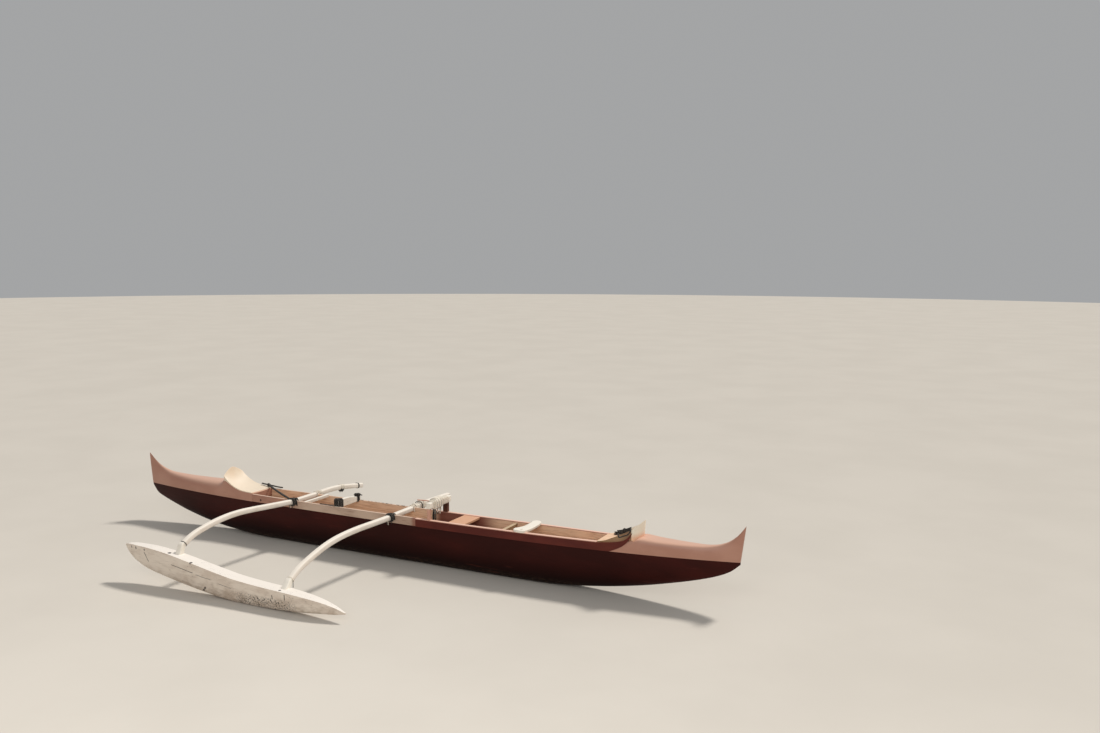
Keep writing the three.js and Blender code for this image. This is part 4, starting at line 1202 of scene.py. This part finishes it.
def on_boom(name, y):
    """The place on a boom's middle line at a distance from the canoe's, and the boom's direction there."""
    path = boom_paths[name]
    i = min(range(len(path)), key=lambda k: abs(path[k].y - y))
    way = way_at(path, i)
    return path[i] + way * ((y - path[i].y) / way.y), way


def ties(bm, boom, side, cord, turns=3, coat=0):
    """Turns that cross over the boom, from lashing holes in the board at both sides of it."""
    centre, _ = on_boom(boom, side * TIED_AT)
    board = half_beam(centre.x) - BOARD_THICK / 2
    outside, inside, top = board + 15, board - 14, centre.z + BOOM_HIGH / 2 + cord / 2
    route = [(-40, board, TIE_HOLE), (-40, outside, TIE_HOLE + 3), (-36, outside, TIE_BESIDE),
             (-22, outside - 4, top + 2), (0, board, top + 4), (22, inside + 4, top + 2),
             (36, inside, TIE_BESIDE), (40, inside, TIE_HOLE + 3), (40, board, TIE_HOLE)]
    for slant in (1, -1):
        for k in range(turns):
            shift = (k - (turns - 1) / 2) * cord
            path = [(centre.x + slant * dx + shift, side * dy, z) for dx, dy, z in route]
            cord_into(bm, smooth_path(path, per_span=6), cord / 2, coat=coat)


# %% [markdown]
# Cut ends and knots make a lashing look tied by hand. A loose end hangs straight down with a slight bend,
# which is drawn by chance. A knot is a few tight turns around a direction: at this size nobody sees how it
# is laid.


# %% Loose ends and knots
SWAY = 9                               # how far a loose end bends at most
HANGS = [(0, 0), (0.6, 0.3), (1, 0.65), (0.8, 1)]     # shares of the bend and of the length
KNOT_STEPS, KNOT_PITCH = 16, 1.6


def loose_end(bm, start, length, radius, coat=0):
    bend = Vector((random.uniform(-SWAY, SWAY), random.uniform(-SWAY, SWAY), 0))
    path = [start + bend * sideways + Vector((0, 0, -length * down)) for sideways, down in HANGS]
    cord_into(bm, smooth_path(path, per_span=6), radius, coat=coat)


def knot_into(bm, centre, way, radius, cord, turns=3):
    across = way.orthogonal().normalized()
    up = way.cross(across)
    count = turns * KNOT_STEPS
    path = []
    for i in range(count + 1):
        angle = 2 * math.pi * i / KNOT_STEPS
        place = way * cord * KNOT_PITCH * (i / count - 0.5) * turns
        path.append(centre + place + (across * math.cos(angle) + up * math.sin(angle)) * radius)
    cord_into(bm, path, cord)


# %% [markdown]
# Both booms carry the same lashings: a black one at the near board, a pale one at the far board, and a thin
# one where the pole meets its post. At the boards the cord also runs through holes and crosses over the
# boom, which is what really holds it down. The overhanging ends differ, so each has its own rows in the
# table.

# %% Lashings on the booms
random.seed(7)
CORD_COATS = [BLACK_CORD, PALE_TWINE]
LASHINGS = [    # boom, solid, y, length, cord, layers, main finish, slot
    ("fore", "port_lashing_fore", -220, 50, 6.5, 3, 0, "cordage"),
    ("aft", "port_lashing_aft", -220, 54, 6.5, 3, 0, "cordage"),
    ("fore", "starboard_lashing_fore", 222, 40, 5, 2, 1, "twine"),
    ("aft", "starboard_lashing_aft", 226, 56, 6, 3, 1, "twine"),
    ("fore", "foot_lashing_fore", -1718, 12, 4, 1, 0, "cordage"),
    ("aft", "foot_lashing_aft", -1698, 15, 4, 1, 1, "cordage"),
    ("fore", "tip_lashing_fore", 605, 60, 5, 1, 1, "cordage"),
    ("fore", "end_strap_fore", 890, 24, 5, 1, 0, "cordage"),
    ("aft", "tip_lashing_aft", 345, 80, 6, 3, 1, "twine"),
]


def dress_lashing(bm, boom, solid, centre, way, cord):
    """Adds the ties, knots and loose ends of a lashing to its turns."""
    if "port" in solid:
        ties(bm, boom, -1, cord)
        for dx in (-22, -14, 20):
            start, pale = centre + Vector((dx, -10, -30)), int(dx == -14)
            loose_end(bm, start, random.uniform(35, 60), radius=3, coat=pale)
    if "starboard" in solid:
        ties(bm, boom, 1, cord, turns=2, coat=1)
    if solid == "foot_lashing_aft":
        knot_into(bm, centre + Vector((18, 8, -12)), way, radius=7, cord=5)
        loose_end(bm, centre + Vector((22, 6, -16)), length=62, radius=3)
    if solid == "tip_lashing_fore":
        knot_into(bm, centre + Vector((6, -8, -22)), way, radius=20, cord=8, turns=4)
        knot_into(bm, centre + Vector((-10, 10, -20)), way, radius=15, cord=7)
        for dx in (-18, 10, 16):
            loose_end(bm, centre + Vector((dx, 0, -34)), random.uniform(16, 34), radius=3.4)
    if solid == "tip_lashing_aft":
        dark = rounded_bar(BOOM_WIDE + 34, BOOM_HIGH + 34, corner=26)
        cord_into(bm, winding(centre - way * 44, way, dark, length=9, turns=2), radius=3)


for boom, solid, y, length, cord, layers, coat, slot in LASHINGS:
    centre, way = on_boom(boom, y)
    bm = bmesh.new()
    wound(bm, centre, way, (BOOM_WIDE, BOOM_HIGH), BOOM_CORNER, length, cord, layers, coat)
    dress_lashing(bm, boom, solid, centre, way, cord)
    piece(f"{solid}_cord", bm, CORD_COATS, [solid], slot, crease=60)

# %% [markdown]
# The crossbeams are wrapped as well. Their sections are plain rectangles, so the same spiral takes their
# size instead of the boom's. The near end of the low beam is closed with turns that lie over it, and two
# cords run from there along the board. The far end has a knot with three short tails.


# %% Cord on the low beam
END_TURNS, END_GAP = 8, 7.2
OVER_THE_END = [(-160, 596), (-184, 595), (-194, 584), (-195, 540), (-190, 517)]     # y and z of a turn
LYING = [(96, -170), (232, -178)]      # how far forward a cord lies on the board, and its y
TAILS = [(66, 4), (-44, 10), (30, 60)]           # how far a tail of the knot reaches aft, and its drop


def dress_near_end(bm, x):
    for k in range(END_TURNS):
        side = x + (k - (END_TURNS - 1) / 2) * END_GAP
        cord_into(bm, smooth_path([(side, y, z) for y, z in OVER_THE_END], per_span=6), radius=3.6)
    for reach, y in LYING:
        lying = [(x - 20, y, 530), (x - 54, y - 4, 521), (x - reach * 0.6, y + 3, 518), (x - reach, y, 517)]
        cord_into(bm, smooth_path(lying), radius=4.5)


def dress_far_end(bm, x):
    way = Vector((0.95, 0.2, 0.15)).normalized()
    knot_into(bm, Vector((x + 4, 166, 566)), way, radius=15, cord=8, turns=4)
    for reach, drop in TAILS:
        tail = [(x, 164, 566), (x + reach * 0.5, 168, 574), (x + reach, 172, 572 - drop)]
        cord_into(bm, smooth_path(tail, per_span=6), radius=6)


# %% [markdown]
# The raised beam has a thick bundle of pale twine with loose ends of both cords below it. Three thin dark
# turns hold it together, a flatter bundle lies on top, and one layer of twine goes on along the beam.

# %% Cord on the raised beam
HANGING = [    # y of a loose end under the beam, its length, radius and finish
    (-104, 122, 6.0, 0), (-94, 136, 7.0, 0), (-82, 128, 7.0, 0), (-74, 70, 6.5, 1), (-64, 138, 6.5, 0),
    (-52, 112, 6.0, 0), (-42, 58, 7.0, 1), (-34, 78, 6.5, 0), (-22, 64, 6.0, 0), (-8, 52, 5.5, 0),
    (10, 84, 5.5, 1), (24, 64, 5.0, 1),
]
BEAM_WAY = Vector((0, 1, 0))
BEAM_CORNER = 5
DARK_TURNS = (-46, -8, 34)             # from the middle of the bundle
TOP_BUNDLE = {"section": (40, 26), "corner": 12, "length": 136, "layers": 2}


def dress_bundle(bm, centre, section, cord, coat):
    for y, length, radius, finish in HANGING:
        loose_end(bm, Vector((centre.x + random.uniform(-14, 14), y, 622)), length, radius, finish)
    wound(bm, centre + Vector((0, 22, 34)), BEAM_WAY, cord=cord, coat=coat, **TOP_BUNDLE)
    onward = centre + Vector((0, 146, 0))
    wound(bm, onward, BEAM_WAY, section, BEAM_CORNER, length=112, cord=cord, layers=1, coat=coat)
    around = rounded_bar(91, 105, corner=27)
    for dy in DARK_TURNS:
        turn = winding(centre + BEAM_WAY * dy, BEAM_WAY, around, length=6, turns=1)
        cord_into(bm, turn, radius=1.8)


# %% [markdown]
# Now the three wraps are made, each from its row of the table. A short stick is tucked under the turns on
# the aft boom, where it serves to twist them tight.

# %% The wraps and the stick
WRAPS = [    # piece, solid, y range, middle x and z, section, cord, layers, main finish, slot
    ("near_beam_lashing", "crossbeam_wrap_port", (-190, -112), (-722.5, 541.5), (45, 83), 6, 2, 0, "cordage"),
    ("far_beam_lashing", "crossbeam_wrap_starboard", (134, 166), (-722.5, 523), (45, 50), 6, 1, 0, "cordage"),
    ("raised_beam_lashing", "raised_wrap", (-146, 30), (454, 660), (48, 62), 8, 3, 1, "twine"),
]
STICK = [(-46, 345, 547), (40, 346, 551), (120, 344, 553), (176, 346, 552)]
for name, solid, (low, high), (x, z), section, cord, layers, coat, slot in WRAPS:
    bm = bmesh.new()
    centre = Vector((x, (low + high) / 2, z))
    wound(bm, centre, BEAM_WAY, section, BEAM_CORNER, high - low, cord, layers, coat)
    if name == "near_beam_lashing":
        dress_near_end(bm, x)
    elif name == "far_beam_lashing":
        dress_far_end(bm, x)
    else:
        dress_bundle(bm, centre, section, cord, coat)
    piece(name, bm, CORD_COATS, [solid], slot, crease=60)

bm = bmesh.new()
cord_into(bm, smooth_path(STICK), radius=7, sides=12)
piece("twisting_stick", bm, [CAP_PAINT], [], "cap", rounded=2)

# %% [markdown]
# A dark rope is drawn from a knot on the bow guard to the first boom, with two loose ends at the knot. The
# knot is a short coil around the standing part.

# %% The drawn rope
KNOT, HITCH = Vector((-1978, 158, 545)), Vector((-1332, -212, 528))
SAG = Vector((0, 0, -8))
ROPE_ENDS = [     # the points of a loose end, and the parts between two of them
    ([KNOT, (-2020, 160, 549), (-2055, 166, 549), (-2085, 162, 553)], 10),
    ([KNOT, (-1930, 166, 540), (-1860, 170, 533), (-1785, 173, 531)], 12),
]

bm = bmesh.new()
drawn = smooth_path([KNOT, KNOT.lerp(HITCH, 0.5) + SAG, HITCH], per_span=40)
rope_into(bm, drawn, radius=12, lay=72)
knot_into(bm, KNOT, (HITCH - KNOT).normalized(), radius=12, cord=6.5)
for points, parts in ROPE_ENDS:
    rope_into(bm, smooth_path(points, parts), radius=8.5, lay=50)
piece("drawn_rope", bm, [BLACK_CORD], ["drawn_cord"], "cordage", crease=60)

# %% [markdown]
# A hank of the same rope lies on the arm of the stern guard: a few lengths side by side and on top of each
# other, with a turn around them. One bight has slipped down over the outside of the arm. The lengths follow
# the curve of the guard, which its own formula gives.

# %% The hank of rope
HANK = [(-15, 0, 9), (2, 2, 9), (16, -2, 8), (-8, 15, 9), (9, 16, 8), (0, 29, 7)]    # sideways, up and radius
HANK_ACROSS, HANK_ROWS = 0.72, (0.7, 3.0)        # its place on the guard, across and along
BIGHT = [
    (2515, -132, 616), (2530, -166, 625), (2545, -179, 606), (2590, -177, 622), (2632, -174, 642),
    (2650, -160, 672), (2640, -130, 682),
]


def on_arm(row):
    return guard_point("stern", row, HANK_ACROSS)


bm = bmesh.new()
for i, (sideways, lift, radius) in enumerate(HANK):
    offset = Vector((sideways * 0.35, sideways * 0.9, 6 + lift))
    rows = steps(HANK_ROWS[0] + 0.12 * (i % 3), HANK_ROWS[1] - 0.16 * (i % 2), 14)
    rope_into(bm, [on_arm(row) + offset for row in rows], radius, lay=46, coat=int(i == 4))
middle = on_arm(1.9) + Vector((0, 0, 18))
hank_way = (on_arm(2.4) - middle).normalized()
around = rounded_bar(54, 48, corner=18)
cord_into(bm, winding(middle, hank_way, around, length=16, turns=3), radius=4)
rope_into(bm, smooth_path(BIGHT, per_span=10), radius=6.5, lay=34)
piece("coiled_rope", bm, CORD_COATS, ["rope_hank"], "cordage", crease=60)

# %% [markdown]
# The floor and the light are plain on purpose. A wide disc is the floor. A broad sun stands high on the far
# side, which gives the bright decks and the soft shadow towards the camera. It lights all of the floor
# evenly. A large weak lamp fills the near side, and leaves a faint bright patch on the floor below it that
# only shows from the far side.


# %% Floor and light
FLOOR_HALF, FLOOR_DEEP = 70, 0.0005
WORLD_COLOUR, WORLD_STRENGTH = (0.88, 0.89, 0.9, 1), 0.42


def make_floor():
    bm = bmesh.new()
    bmesh.ops.create_circle(bm, cap_ends=True, segments=64, radius=FLOOR_HALF)
    bmesh.ops.translate(bm, verts=bm.verts, vec=(0, 0, -FLOOR_DEEP))
    mesh = bpy.data.meshes.new("floor")
    bm.to_mesh(mesh)
    bm.free()
    floor = bpy.data.objects.new("floor", mesh)
    bpy.context.collection.objects.link(floor)
    ground = Finish("pale_floor", 0.95, gloss=0.1)
    patches = ground.soft(ground.noise(0.6), 0.3, 0.7)
    ground.colour(ground.mix(patches, tint(208, 202, 193), tint(204, 198, 189)))
    mesh.materials.append(ground.material)
    floor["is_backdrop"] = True


def make_light(name, kind, place, power, colour, **settings):
    data = bpy.data.lights.new(name, kind)
    data.energy = power
    data.color = colour
    for key, value in settings.items():
        setattr(data, key, value)
    light = bpy.data.objects.new(name, data)
    light.location = place
    light.rotation_euler = (-Vector(place)).to_track_quat("-Z", "Y").to_euler()
    bpy.context.collection.objects.link(light)


def make_world():
    world = bpy.data.worlds.new("studio")
    world.use_nodes = True
    colour, strength = world.node_tree.nodes["Background"].inputs[:2]
    colour.default_value = WORLD_COLOUR
    strength.default_value = WORLD_STRENGTH
    bpy.context.scene.world = world


make_floor()
make_light("high_sun", "SUN", (2.8, 5.6, 9), 2.5, (1, 0.96, 0.9), angle=math.radians(9))
make_light("near_fill", "AREA", (4, -9, 5), 270, (1, 0.98, 0.95), shape="DISK", size=7)
make_world()
bpy.context.scene.view_settings.view_transform = "Standard"

# %% [markdown]
# Last, the box of the solids and the box of the dressed canoe are written down, so that the two can be
# compared.

# %% Measure and finish
visual_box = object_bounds()
for word, first, second in zip(("lowest", "highest"), cad_box, visual_box):
    print(word, "corner differs by", [round((b - a) * 1000, 1) for a, b in zip(first, second)], "mm")
